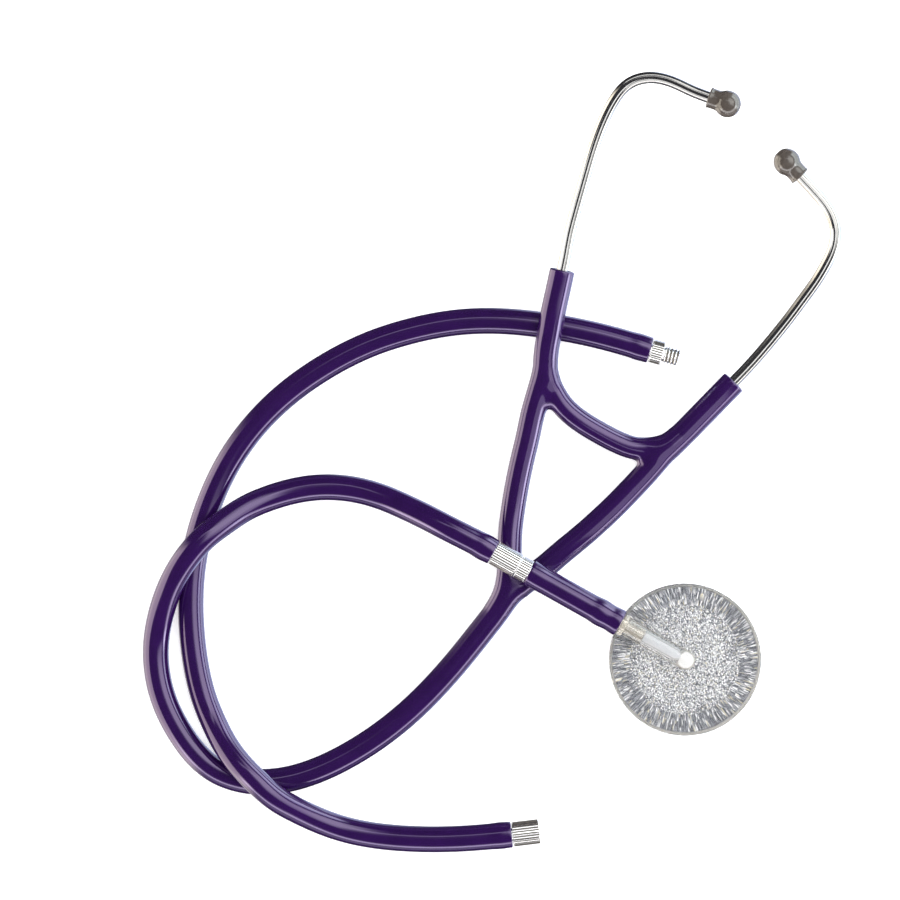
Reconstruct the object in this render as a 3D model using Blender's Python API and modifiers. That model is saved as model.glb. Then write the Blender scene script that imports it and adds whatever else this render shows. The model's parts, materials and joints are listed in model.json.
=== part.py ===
"""Single-head stethoscope lying flat, with a screw coupling and a separate extension hose.

Frame: metres, +Z up. The origin is the centre of the diaphragm's outer face, on the surface
that the object lies on. +Y runs towards the ear tips. The chestpiece's stem, the chest tube
and the coupling share one straight, level line, the chest line, which starts over the origin.
"""
import math

import bmesh
import bpy
import numpy as np
from mathutils import Matrix, Vector

# Clearances and edges
GAP = 0.0003                   # between pieces that touch
SOCKET_GAP = 0.0004            # around a round end inside a cupped one
OVERRUN = 0.001                # that cutters and joined forms run past a face
SMALL_EDGE = 0.0003            # chamfers
EDGE = 0.0004
WIDE_EDGE = 0.0006

# Flexible tubing
HOSE_R = 0.0052                # main hose, chest tube and extension hose
ARM_R = 0.0049                 # arms and sleeves of the binaural moulding
BRIDGE_R = 0.0046              # U-shaped bridge between the arms
BORE_R = 0.0024                # sound bore of the arms and hoses
BRIDGE_BORE_R = 0.0027         # pocket of the leaf spring
HOSE_STEP = 0.011              # spacing of the points along the hoses
YOKE_STEP = 0.009              # spacing of the points along the moulding
SPLINE_STEPS = 24              # fine steps between two points of a route
STEM_POINTS = 3                # points of the moulding's route that have the hose's radius

# Leaf spring
SPRING_THICK = 0.0008
SPRING_HEIGHT = 0.0036

# Ear tubes and ear tips
EAR_TUBE_R = 0.00235
EAR_BORE_R = 0.0016
EAR_TUBE_STEP = 0.006
SLEEVE_STEP = 0.007
SLEEVE_RISE = 0.0001           # of a sleeve's middle over the straight line from hinge to socket
SLEEVE_BORE_R = 0.0028
SLEEVE_DEPTH = 0.0180          # of the ear tube inside its sleeve
TIP_COLLAR_R = 0.0040
TIP_BALL_R = 0.0054
TIP_BALL_Z = 0.0079            # ball centre, from the collar's open end
TIP_SOCKET_R = 0.00315
TIP_SOCKET_DEPTH = 0.0095
TIP_HOLE_R = 0.0013
TUBE_IN_TIP = 0.0020           # of the ear tube inside the collar
NOZZLE_R = 0.0028
NOZZLE_BORE_R = 0.0007
NOZZLE_SPIGOT_R = 0.0011
NOZZLE_SPIGOT = 0.0045         # length of the spigot in the ear tube
NOZZLE_BARBS = 3
NOZZLE_NOSE = 0.0008           # radius lost from the last barb to the nozzle's end

# Screw fittings, measured along their own axis from the joint face
COLLAR_R = 0.0047              # male plug's knurled collar
COLLAR_LENGTH = 0.0048
STUB_R = 0.0033                # male thread, outside
STUB_LENGTH = 0.0066
THREAD_PITCH = 0.0014
THREAD_DEPTH = 0.0004
FEMALE_R = 0.0049              # knurled sleeve
FEMALE_LENGTH = 0.0107
FEMALE_BORE_R = 0.0036
FEMALE_BORE_DEPTH = 0.0079
BARB_R = 0.0029
BARB_ROOT = 0.0004             # depth of the step behind each barb ring
BARB_NOSE = 0.0007             # radius lost from the last ring to the barb's end
BARB_LENGTH = 0.0080
FITTING_BORE_R = 0.0015
BARB_SOCKET_R = 0.0033         # bore of a hose end around a barb
WASHER_THICK = 0.0008

# Chestpiece
DISC_R = 0.03035
DISC_TOP_Z = 0.0094
SKIRT_R = 0.0297
SKIRT_BOTTOM_Z = 0.0012
DISC_EDGE_Z = 0.0029           # underside of the disc's outer edge, above the ring
CHAMBER_R = 0.0293
CHAMBER_TOP_Z = 0.0036
FOIL_R = 0.0290
FOIL_THICK = 0.0004
RING_TOP_Z = 0.0026
RING_INNER_R = 0.0300
LIP_INNER_R = 0.0291
LIP_THICK = 0.0003
DIAPHRAGM_R = 0.0288
DIAPHRAGM_FLANGE_R = 0.0297
DIAPHRAGM_THICK = 0.0009
CHEST_LINE_Z = 0.0156          # the chest line clears the arms that it crosses
CHEST_LINE = Vector((-0.872, 0.4895, 0.0)).normalized()
BAR_R = 0.0038                 # half the width of the bar on the disc
BAR_END = 0.0270               # from the disc's centre, along the chest line
BAR_BORE_R = 0.0020
CENTRE_BORE_R = 0.0022
STEM_SOCKET_R = 0.0030
STEM_SOCKET_START = 0.0190
STEM_R = 0.0026
STEM_FLANGE_R = 0.0044
STEM_FLANGE = (0.0273, 0.0295) # start and end along the chest line
STEM_BARB_END = 0.0405
CHEST_TUBE = (0.0298, 0.0715)
PLUG_FACE = 0.0766             # joint face of the coupling

# Routes: the moulding, the ear tubes and the hoses
LEFT_HINGE = Vector((-0.0555, 0.1235, 0.0143))
RIGHT_HINGE = Vector((0.0006, 0.0916, 0.0049))
LEFT_SLEEVE_END = Vector((-0.0492, 0.1556, 0.0176))
RIGHT_SLEEVE_END = Vector((0.0196, 0.1111, 0.0049))
LEFT_SLEEVE_LINE = Vector((0.0044, 0.0206, 0.0016)).normalized()
RIGHT_SLEEVE_LINE = Vector((0.0190, 0.0195, 0.0001)).normalized()

STEM_AND_LEFT_ARM = [
    (-0.0793, 0.0140, 0.0052), (-0.0736, 0.0222, 0.0052), (-0.0709, 0.0305, 0.0051),
    (-0.0702, 0.0400, 0.0049), (-0.0698, 0.0518, 0.0049), (-0.0686, 0.0614, 0.0053),
    (-0.0670, 0.0708, 0.0062), (-0.0650, 0.0802, 0.0074), (-0.0628, 0.0896, 0.0088),
    (-0.0608, 0.0989, 0.0103), (-0.0580, 0.1090, 0.0119), (-0.0562, 0.1170, 0.0132),
    tuple(LEFT_HINGE),
]
RIGHT_ARM = [
    (-0.0745, 0.0208, 0.0052), (-0.0690, 0.0266, 0.0051), (-0.0625, 0.0321, 0.0050),
    (-0.0556, 0.0374, 0.0049), (-0.0494, 0.0427, 0.0049), (-0.0420, 0.0488, 0.0049),
    (-0.0348, 0.0551, 0.0049), (-0.0278, 0.0617, 0.0049), (-0.0211, 0.0686, 0.0049),
    (-0.0145, 0.0757, 0.0049), (-0.0077, 0.0834, 0.0049), tuple(RIGHT_HINGE),
]
BRIDGE = [
    (-0.0553, 0.1172, 0.0133), (-0.0535, 0.1102, 0.0121), (-0.0512, 0.1048, 0.0111),
    (-0.0472, 0.0997, 0.0100), (-0.0416, 0.0952, 0.0087), (-0.0342, 0.0907, 0.0072),
    (-0.0266, 0.0868, 0.0060), (-0.0197, 0.0845, 0.0053), (-0.0129, 0.0845, 0.0050),
    (-0.0060, 0.0861, 0.0049), (-0.0022, 0.0886, 0.0049),
]
LEFT_EAR_TUBE = [
    (-0.0467, 0.1686, 0.0186), (-0.0444, 0.1779, 0.0193), (-0.0418, 0.1872, 0.0200),
    (-0.0392, 0.1964, 0.0207), (-0.0364, 0.2056, 0.0213), (-0.0330, 0.2146, 0.0219),
    (-0.0287, 0.2230, 0.0225), (-0.0226, 0.2298, 0.0231), (-0.0134, 0.2321, 0.0238),
    (-0.0042, 0.2298, 0.0246), (0.0024, 0.2267, 0.0252), (0.0109, 0.2235, 0.0260),
]
RIGHT_EAR_TUBE = [
    (0.0270, 0.1189, 0.0050), (0.0323, 0.1250, 0.0051), (0.0375, 0.1313, 0.0053),
    (0.0426, 0.1378, 0.0055), (0.0474, 0.1443, 0.0058), (0.0521, 0.1508, 0.0061),
    (0.0562, 0.1576, 0.0065), (0.0594, 0.1650, 0.0070), (0.0599, 0.1730, 0.0077),
    (0.0571, 0.1802, 0.0085), (0.0523, 0.1863, 0.0093), (0.0446, 0.1946, 0.0103),
]
MAIN_HOSE = [
    (-0.0795, 0.0137, 0.0052), (-0.0910, -0.0006, 0.0052), (-0.1039, -0.0148, 0.0052),
    (-0.1183, -0.0275, 0.0052), (-0.1343, -0.0381, 0.0052), (-0.1518, -0.0460, 0.0052),
    (-0.1707, -0.0489, 0.0052), (-0.1888, -0.0436, 0.0052), (-0.2018, -0.0295, 0.0052),
    (-0.2097, -0.0121, 0.0052), (-0.2115, 0.0069, 0.0055), (-0.2100, 0.0163, 0.0074),
    (-0.2072, 0.0255, 0.0107), (-0.2032, 0.0342, 0.0143), (-0.1979, 0.0422, 0.0161),
    (-0.1914, 0.0493, 0.0159), (-0.1838, 0.0551, 0.0133), (-0.1758, 0.0604, 0.0098),
    (-0.1670, 0.0643, 0.0071), (-0.1578, 0.0671, 0.0057), (-0.1484, 0.0687, 0.0052),
    (-0.1293, 0.0674, 0.0056), (-0.1201, 0.0646, 0.0072), (-0.1113, 0.0608, 0.0098),
    (-0.1026, 0.0566, 0.0128), (-0.0941, 0.0522, 0.0150), (-0.0856, 0.0479, 0.0156),
    (-0.0766, 0.0430, 0.0156),
]
EXTENSION_HOSE = [
    (-0.0139, 0.1237, 0.0052), (-0.0324, 0.1290, 0.0052), (-0.0512, 0.1329, 0.0052),
    (-0.0704, 0.1352, 0.0052), (-0.0896, 0.1350, 0.0052), (-0.1084, 0.1317, 0.0052),
    (-0.1267, 0.1258, 0.0052), (-0.1438, 0.1171, 0.0052), (-0.1595, 0.1060, 0.0052),
    (-0.1730, 0.0925, 0.0052), (-0.1838, 0.0766, 0.0052), (-0.1915, 0.0590, 0.0052),
    (-0.1963, 0.0405, 0.0052), (-0.1977, 0.0213, 0.0052), (-0.1963, 0.0022, 0.0052),
    (-0.1920, -0.0166, 0.0061), (-0.1883, -0.0254, 0.0080), (-0.1838, -0.0338, 0.0112),
    (-0.1780, -0.0415, 0.0147), (-0.1713, -0.0484, 0.0162), (-0.1642, -0.0547, 0.0147),
    (-0.1559, -0.0597, 0.0113), (-0.1472, -0.0639, 0.0081), (-0.1382, -0.0673, 0.0060),
    (-0.1289, -0.0696, 0.0052), (-0.1098, -0.0717, 0.0052), (-0.0906, -0.0717, 0.0052),
    (-0.0693, -0.0700, 0.0052),
]
EXTENSION_PLUG_FACE = Vector((-0.0089, 0.1223, 0.0052))
EXTENSION_PLUG_LINE = Vector((0.961, -0.275, 0.0)).normalized()
EXTENSION_SLEEVE_FACE = Vector((-0.0583, -0.0687, 0.0052))
EXTENSION_SLEEVE_LINE = Vector((-0.9932, -0.1165, 0.0)).normalized()

# Round counts
ROUND_TINY = 12                # segments of the nozzles and small bores
ROUND_SMALL = 16               # segments of the ear tips and washers
ROUND_FITTING = 20             # segments of the screw fittings
ROUND_DISC = 40                # segments of the chestpiece
ARC_STEPS = 8                  # of a half circle in an outline
WELD = 0.00001                 # merge distance


def clear_scene():
    for obj in list(bpy.data.objects):
        bpy.data.objects.remove(obj, do_unlink=True)


def new_collection(name):
    made = bpy.data.collections.new(name)
    bpy.context.scene.collection.children.link(made)
    return made


def plain_material(name, colour, roughness, metallic=0.0, transmission=0.0):
    made = bpy.data.materials.new(name)
    made.use_nodes = True
    shader = made.node_tree.nodes["Principled BSDF"]
    shader.inputs["Base Color"].default_value = (*colour, 1.0)
    shader.inputs["Roughness"].default_value = roughness
    shader.inputs["Metallic"].default_value = metallic
    shader.inputs["Transmission Weight"].default_value = transmission
    return made


def place_along(origin, direction):
    """A frame at origin whose +Z points along direction."""
    turn = Vector(direction).to_track_quat("Z", "Y").to_matrix().to_4x4()
    return Matrix.Translation(origin) @ turn


def on_chest_line(distance):
    return CHEST_LINE * distance + Vector((0.0, 0.0, CHEST_LINE_Z))


def smooth_route(points, step):
    """Points about step apart on the natural cubic spline through a route's points."""
    knots = np.array([tuple(point) for point in points])
    chord = np.linalg.norm(np.diff(knots, axis=0), axis=1)
    count = len(knots)
    matrix = np.eye(count)
    right_side = np.zeros((count, 3))
    for i in range(1, count - 1):
        before, after = chord[i - 1], chord[i]
        matrix[i, i - 1:i + 2] = before, 2.0 * (before + after), after
        right_side[i] = 6.0 * ((knots[i + 1] - knots[i]) / after - (knots[i] - knots[i - 1]) / before)
    second = np.linalg.solve(matrix, right_side)
    share = np.linspace(0.0, 1.0, SPLINE_STEPS, endpoint=False)[:, None]
    dense = []
    for i in range(count - 1):
        cubic_a = ((1.0 - share) ** 3 - (1.0 - share)) * second[i]
        cubic_b = (share ** 3 - share) * second[i + 1]
        straight = (1.0 - share) * knots[i] + share * knots[i + 1]
        dense.append(straight + (cubic_a + cubic_b) * chord[i] ** 2 / 6.0)
    dense = np.vstack(dense + [knots[-1:]])
    along = np.concatenate(([0.0], np.cumsum(np.linalg.norm(np.diff(dense, axis=0), axis=1))))
    marks = np.linspace(0.0, along[-1], max(2, round(along[-1] / step) + 1))
    even = np.stack([np.interp(marks, along, dense[:, axis]) for axis in range(3)], axis=1)
    return [Vector(point) for point in even]


def longer(route, start=0.0, end=0.0):
    """The route with a straight piece added at either end."""
    route = list(route)
    if start:
        route.insert(0, route[0] + (route[0] - route[1]).normalized() * start)
    if end:
        route.append(route[-1] + (route[-1] - route[-2]).normalized() * end)
    return route


def rounded_end(route, radii):
    """The route and radii with a half-round end of the last radius added."""
    route, radii = list(route), list(radii)
    centre, radius = route[-1], radii[-1]
    ahead = (route[-1] - route[-2]).normalized()
    for degrees in (25, 50, 70):
        angle = math.radians(degrees)
        route.append(centre + ahead * radius * math.sin(angle))
        radii.append(radius * math.cos(angle))
    return route, radii


class Builder:
    """Makes the parts, each in its collection and under its joint's empty."""

    def __init__(self):
        self.parts = new_collection("stethoscope")
        self.cutters = new_collection("cutters")

    def axis_empty(self, name, origin, direction=(0.0, 0.0, 1.0), parent=None):
        empty = bpy.data.objects.new(name, None)
        empty.empty_display_size = 0.01
        self.parts.objects.link(empty)
        empty.matrix_world = place_along(origin, direction)
        if parent:
            self.put_under(empty, parent)
        return empty

    def put_under(self, obj, parent):
        bpy.context.view_layer.update()
        obj.parent = parent
        obj.matrix_parent_inverse = parent.matrix_world.inverted()

    def add(self, obj, material=None, parent=None):
        """A finished part with its material; with no material it is a cutter."""
        home = self.parts if material else self.cutters
        home.objects.link(obj)
        if material:
            obj.data.materials.append(material)
        else:
            obj.hide_render = True
            obj.display_type = "WIRE"
        if parent:
            self.put_under(obj, parent)
        return obj

    def swept(self, name, route, radii, material=None, parent=None, sides=3, profile=None):
        """A tube along a route, or a strip where profile gives its section."""
        curve = bpy.data.curves.new(name, "CURVE")
        curve.dimensions = "3D"
        curve.use_fill_caps = True
        if profile:
            curve.bevel_mode = "OBJECT"
            curve.bevel_object = profile
            curve.twist_mode = "Z_UP"
        else:
            curve.bevel_depth = 1.0
            curve.bevel_resolution = sides
        spline = curve.splines.new("POLY")
        spline.points.add(len(route) - 1)
        if not isinstance(radii, (list, tuple)):
            radii = [radii] * len(route)
        for point, place, radius in zip(spline.points, route, radii):
            point.co = (*place, 1.0)
            point.radius = radius
        return self.as_mesh(bpy.data.objects.new(name, curve), material, parent)

    def as_mesh(self, curve_object, material, parent):
        """The curve's surface as a mesh object with welded caps."""
        bpy.context.scene.collection.objects.link(curve_object)
        depsgraph = bpy.context.evaluated_depsgraph_get()
        mesh = bpy.data.meshes.new_from_object(curve_object.evaluated_get(depsgraph))
        name = curve_object.name
        bpy.data.objects.remove(curve_object, do_unlink=True)
        shape = bmesh.new()
        shape.from_mesh(mesh)
        bmesh.ops.remove_doubles(shape, verts=shape.verts, dist=WELD)
        bmesh.ops.recalc_face_normals(shape, faces=shape.faces)
        shape.to_mesh(mesh)
        shape.free()
        mesh.name = name
        mesh.materials.clear()
        mesh.shade_smooth()
        return self.add(bpy.data.objects.new(name, mesh), material, parent)

    def turned(self, name, outline, place, segments, material=None, parent=None):
        """A turned solid about its own Z; outline holds (radius, height) pairs, outside first."""
        mesh = bpy.data.meshes.new(name)
        edges = [(i, i + 1) for i in range(len(outline) - 1)]
        if outline[0][0] > 0.0:
            edges.append((len(outline) - 1, 0))
        mesh.from_pydata([(radius, 0.0, height) for radius, height in outline], edges, [])
        obj = bpy.data.objects.new(name, mesh)
        obj.matrix_world = place
        screw = obj.modifiers.new("turn", "SCREW")
        screw.axis = "Z"
        screw.steps = segments
        screw.render_steps = segments
        screw.use_merge_vertices = True
        screw.merge_threshold = WELD
        return self.add(obj, material, parent)

    def rod(self, name, start, end, radius, segments=ROUND_SMALL):
        """A round cutter from start to end."""
        start, end = Vector(start), Vector(end)
        mesh = bpy.data.meshes.new(name)
        shape = bmesh.new()
        bmesh.ops.create_cone(
            shape, cap_ends=True, segments=segments, radius1=radius, radius2=radius,
            depth=(end - start).length)
        shape.to_mesh(mesh)
        shape.free()
        obj = bpy.data.objects.new(name, mesh)
        obj.matrix_world = place_along((start + end) / 2.0, end - start)
        return self.add(obj)

    def ball(self, name, centre, radius):
        mesh = bpy.data.meshes.new(name)
        shape = bmesh.new()
        bmesh.ops.create_uvsphere(shape, u_segments=ROUND_SMALL, v_segments=8, radius=radius)
        shape.to_mesh(mesh)
        shape.free()
        obj = bpy.data.objects.new(name, mesh)
        obj.location = centre
        return self.add(obj)

    def combine(self, obj, operation, other):
        step = obj.modifiers.new(other.name, "BOOLEAN")
        step.operation = operation
        step.solver = "EXACT"
        step.object = other


def build_yoke(make, pvc, steel):
    """The binaural moulding, its leaf spring and its sound bores."""
    left = smooth_route(STEM_AND_LEFT_ARM, YOKE_STEP)
    left_radii = [HOSE_R] * STEM_POINTS + [ARM_R] * (len(left) - STEM_POINTS)
    right = smooth_route(RIGHT_ARM, YOKE_STEP)
    bridge = smooth_route(BRIDGE, YOKE_STEP)

    yoke = make.swept("yoke_tubing", *rounded_end(left, left_radii), pvc)
    right_arm = make.swept("right_arm_form", *rounded_end(right, [ARM_R] * len(right)))
    make.combine(yoke, "UNION", right_arm)
    make.combine(yoke, "UNION", make.swept("bridge_form", bridge, BRIDGE_R))
    bores = (
        ("left_arm_bore", longer(left, 2 * OVERRUN, 2 * ARM_R), BORE_R),
        ("right_arm_bore", longer(right, 0.0, 2 * ARM_R), BORE_R),
        ("bridge_bore", bridge, BRIDGE_BORE_R),
    )
    for name, route, radius in bores:
        make.combine(yoke, "DIFFERENCE", make.swept(name, route, radius, sides=2))

    half = (SPRING_THICK / 2.0, SPRING_HEIGHT / 2.0)
    section = bpy.data.curves.new("spring_section", "CURVE")
    section.dimensions = "2D"
    outline = section.splines.new("POLY")
    outline.points.add(3)
    corners = ((-1, -1), (1, -1), (1, 1), (-1, 1))
    for point, (x, y) in zip(outline.points, corners):
        point.co = (x * half[0], y * half[1], 0.0, 1.0)
    outline.use_cyclic_u = True
    guide = make.add(bpy.data.objects.new("spring_section", section))
    make.swept("yoke_spring", bridge[1:-1], 1.0, steel, profile=guide)


def build_sleeve(make, side, hinge, end, line, pvc, parent):
    """One ear-tube sleeve, cupped over the moulding's round end and bored for its tube."""
    straight_start = end - line * (SLEEVE_DEPTH + OVERRUN)
    middle = (hinge + straight_start) / 2.0 + Vector((0.0, 0.0, SLEEVE_RISE))
    route = smooth_route([hinge, middle, straight_start, end - line * SLEEVE_DEPTH / 2.0, end],
                         SLEEVE_STEP)
    sleeve = make.swept(side + "_sleeve", route, ARM_R, pvc, parent)
    cup = make.ball(side + "_sleeve_cup", hinge, ARM_R + SOCKET_GAP)
    socket = make.rod(side + "_tube_socket", end - line * (SLEEVE_DEPTH + GAP),
                      end + line * 2 * OVERRUN, SLEEVE_BORE_R, segments=ROUND_TINY)
    bore = make.swept(side + "_sleeve_bore", route[:-2], BORE_R, sides=2)
    for cutter in (cup, socket, bore):
        make.combine(sleeve, "DIFFERENCE", cutter)


def build_ear_tube(make, side, points, end, line, steel, parent):
    """One steel ear tube with its full-length bore; returns its upper end's place and direction."""
    route = smooth_route([end - line * SLEEVE_DEPTH, end - line * SLEEVE_DEPTH / 2.0, end,
                          end + line * 4 * OVERRUN] + [Vector(point) for point in points],
                         EAR_TUBE_STEP)
    tube = make.swept(side + "_ear_tube", route, EAR_TUBE_R, steel, parent)
    bore = make.swept(side + "_ear_tube_bore", longer(route, OVERRUN, OVERRUN), EAR_BORE_R, sides=2)
    make.combine(tube, "DIFFERENCE", bore)
    return route[-1], (route[-1] - route[-2]).normalized()


def build_ear_tip(make, side, tube_end, line, steel, silicone, tube_parent, tip_parent):
    """The nozzle in the tube's end and the mushroom-shaped tip pushed onto it."""
    place = place_along(tube_end - line * TUBE_IN_TIP, line)
    head_start = TUBE_IN_TIP + GAP
    head_end = TIP_SOCKET_DEPTH - GAP
    barb = (head_end - head_start) / NOZZLE_BARBS
    outline = [(NOZZLE_R - NOZZLE_NOSE, head_end)]
    for ring in reversed(range(NOZZLE_BARBS)):
        foot = head_start + ring * barb
        outline.append((NOZZLE_R, foot + EDGE))
        outline.append((NOZZLE_R - BARB_ROOT if ring else NOZZLE_R, foot))
    outline += [(NOZZLE_SPIGOT_R, head_start), (NOZZLE_SPIGOT_R, head_start - NOZZLE_SPIGOT),
                (NOZZLE_BORE_R, head_start - NOZZLE_SPIGOT), (NOZZLE_BORE_R, head_end)]
    make.turned(side + "_ear_nozzle", outline, place, ROUND_TINY, steel, tube_parent)

    hole_angle = math.asin(TIP_HOLE_R / TIP_BALL_R)
    collar_angle = math.pi - math.asin(TIP_COLLAR_R / TIP_BALL_R)
    outline = []
    for i in range(ARC_STEPS + 1):
        angle = hole_angle + (collar_angle - hole_angle) * i / ARC_STEPS
        outline.append((TIP_BALL_R * math.sin(angle), TIP_BALL_Z + TIP_BALL_R * math.cos(angle)))
    outline += [(TIP_COLLAR_R, SMALL_EDGE), (TIP_COLLAR_R - SMALL_EDGE, 0.0), (TIP_SOCKET_R, 0.0),
                (TIP_SOCKET_R, TIP_SOCKET_DEPTH), (TIP_HOLE_R, TIP_SOCKET_DEPTH)]
    make.turned(side + "_ear_tip", outline, place, ROUND_SMALL, silicone, tip_parent)


def barb_outline(start, end):
    """Radius and height pairs of a two-ring barb, outside only, from end back to start."""
    third = (end - start) / 3.0
    root = BARB_R - BARB_ROOT
    return [(BARB_R - BARB_NOSE, end), (BARB_R, start + 2 * third), (root, start + 2 * third),
            (BARB_R, start + third), (root, start + third), (root, start)]


def build_plug(make, name, face, line, steel, parent=None):
    """A male plug; +Z from the joint face along the thread."""
    turns = int(STUB_LENGTH / THREAD_PITCH)
    pitch = STUB_LENGTH / turns
    outline = [(STUB_R - THREAD_DEPTH, STUB_LENGTH)]
    for turn in range(turns, 0, -1):
        crest = turn * pitch - pitch / 4.0
        outline.append((STUB_R, crest))
        outline.append((STUB_R - THREAD_DEPTH, crest - pitch / 2.0))
    outline += [(STUB_R - THREAD_DEPTH, 0.0), (COLLAR_R - EDGE, 0.0), (COLLAR_R, -EDGE),
                (COLLAR_R, EDGE - COLLAR_LENGTH), (COLLAR_R - EDGE, -COLLAR_LENGTH)]
    outline += [(radius, -COLLAR_LENGTH - height) for radius, height in
                reversed(barb_outline(0.0, BARB_LENGTH))]
    outline += [(FITTING_BORE_R, -COLLAR_LENGTH - BARB_LENGTH), (FITTING_BORE_R, STUB_LENGTH)]
    make.turned(name, outline, place_along(face, line), ROUND_FITTING, steel, parent)


def build_socket(make, name, face, line, steel, parent=None):
    """A female knurled sleeve; +Z from its open end towards its barb."""
    back = FEMALE_LENGTH
    outline = barb_outline(back, back + BARB_LENGTH)
    outline += [(FEMALE_R - EDGE, back), (FEMALE_R, back - EDGE), (FEMALE_R, WIDE_EDGE),
                (FEMALE_R - WIDE_EDGE, 0.0), (FEMALE_BORE_R, 0.0), (FEMALE_BORE_R, FEMALE_BORE_DEPTH),
                (FITTING_BORE_R, FEMALE_BORE_DEPTH), (FITTING_BORE_R, back + BARB_LENGTH)]
    make.turned(name, outline, place_along(face, line), ROUND_FITTING, steel, parent)


def build_washer(make, name, centre, line, rubber, parent=None):
    half = WASHER_THICK / 2.0
    outer, inner = FEMALE_BORE_R - SOCKET_GAP, FITTING_BORE_R
    outline = [(outer, half), (outer, -half), (inner, -half), (inner, half)]
    make.turned(name, outline, place_along(centre, line), ROUND_SMALL, rubber, parent)


def build_hose(make, name, points, pvc, bored_ends):
    """A long hose, solid but for the sockets around its barbs."""
    route = smooth_route(points, HOSE_STEP)
    hose = make.swept(name, route, HOSE_R, pvc)
    ends = {"start": (route[0], route[1]), "end": (route[-1], route[-2])}
    for end in bored_ends:
        tip, inner = ends[end]
        inward = (inner - tip).normalized()
        bore = make.rod(name + "_bore_" + end, tip - inward * OVERRUN,
                        tip + inward * (BARB_LENGTH + 2 * GAP), BARB_SOCKET_R, segments=ROUND_TINY)
        make.combine(hose, "DIFFERENCE", bore)


def build_chest_half(make, acrylic, foil, clear_rim, film, pvc, steel, chest_axis, ring_axis):
    """Everything that unscrews with the male plug, from the plug to the chestpiece."""
    build_plug(make, "coupling_plug", on_chest_line(PLUG_FACE), CHEST_LINE, steel, chest_axis)

    line_place = place_along(on_chest_line(0.0), CHEST_LINE)
    start, end = CHEST_TUBE
    socket = BARB_SOCKET_R
    outline = [(HOSE_R - SMALL_EDGE, end), (HOSE_R, end - SMALL_EDGE), (HOSE_R, start + SMALL_EDGE),
               (HOSE_R - SMALL_EDGE, start), (socket, start), (socket, STEM_BARB_END + 2 * GAP),
               (BORE_R, STEM_BARB_END + 3 * GAP), (BORE_R, end - BARB_LENGTH - 3 * GAP),
               (socket, end - BARB_LENGTH - 2 * GAP), (socket, end)]
    make.turned("chest_tube", outline, line_place, ROUND_FITTING, pvc, chest_axis)

    flange_start, flange_end = STEM_FLANGE
    outline = barb_outline(flange_end, STEM_BARB_END)
    outline += [(STEM_FLANGE_R, flange_end), (STEM_FLANGE_R, flange_start), (STEM_R, flange_start),
                (STEM_R, STEM_SOCKET_START + GAP), (FITTING_BORE_R, STEM_SOCKET_START + GAP),
                (FITTING_BORE_R, STEM_BARB_END)]
    make.turned("chest_stem", outline, line_place, ROUND_FITTING, acrylic, chest_axis)

    upright = Matrix.Identity(4)
    outline = [(0.0, DISC_TOP_Z), (DISC_R - WIDE_EDGE, DISC_TOP_Z), (DISC_R, DISC_TOP_Z - WIDE_EDGE),
               (DISC_R, DISC_EDGE_Z), (SKIRT_R, DISC_EDGE_Z), (SKIRT_R, SKIRT_BOTTOM_Z),
               (CHAMBER_R, SKIRT_BOTTOM_Z), (CHAMBER_R, CHAMBER_TOP_Z), (0.0, CHAMBER_TOP_Z)]
    body = make.turned("chest_body", outline, upright, ROUND_DISC, acrylic, chest_axis)
    make.combine(body, "UNION", bar_form(make))
    make.combine(body, "DIFFERENCE", make.rod(
        "centre_bore", (0.0, 0.0, CHAMBER_TOP_Z - OVERRUN), (0.0, 0.0, CHEST_LINE_Z),
        CENTRE_BORE_R))
    make.combine(body, "DIFFERENCE", make.rod(
        "bar_bore", on_chest_line(0.0), on_chest_line(STEM_SOCKET_START + OVERRUN), BAR_BORE_R))
    make.combine(body, "DIFFERENCE", make.rod(
        "stem_socket", on_chest_line(STEM_SOCKET_START), on_chest_line(BAR_END + OVERRUN),
        STEM_SOCKET_R))

    foil_top = CHAMBER_TOP_Z - GAP
    outline = [(FOIL_R, foil_top), (FOIL_R, foil_top - FOIL_THICK),
               (CENTRE_BORE_R, foil_top - FOIL_THICK), (CENTRE_BORE_R, foil_top)]
    make.turned("glitter_disc", outline, upright, ROUND_DISC, foil, chest_axis)

    outline = [(DISC_R - SMALL_EDGE, RING_TOP_Z), (DISC_R, RING_TOP_Z - SMALL_EDGE), (DISC_R, EDGE),
               (DISC_R - EDGE, 0.0), (LIP_INNER_R, 0.0), (LIP_INNER_R, LIP_THICK),
               (RING_INNER_R, LIP_THICK), (RING_INNER_R, RING_TOP_Z)]
    make.turned("retaining_ring", outline, upright, ROUND_DISC, clear_rim, ring_axis)
    flange_z = LIP_THICK + GAP
    outline = [(0.0, DIAPHRAGM_THICK), (DIAPHRAGM_FLANGE_R, DIAPHRAGM_THICK),
               (DIAPHRAGM_FLANGE_R, flange_z), (DIAPHRAGM_R, flange_z), (DIAPHRAGM_R, 0.0), (0.0, 0.0)]
    make.turned("diaphragm", outline, upright, ROUND_DISC, film, ring_axis)


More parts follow.
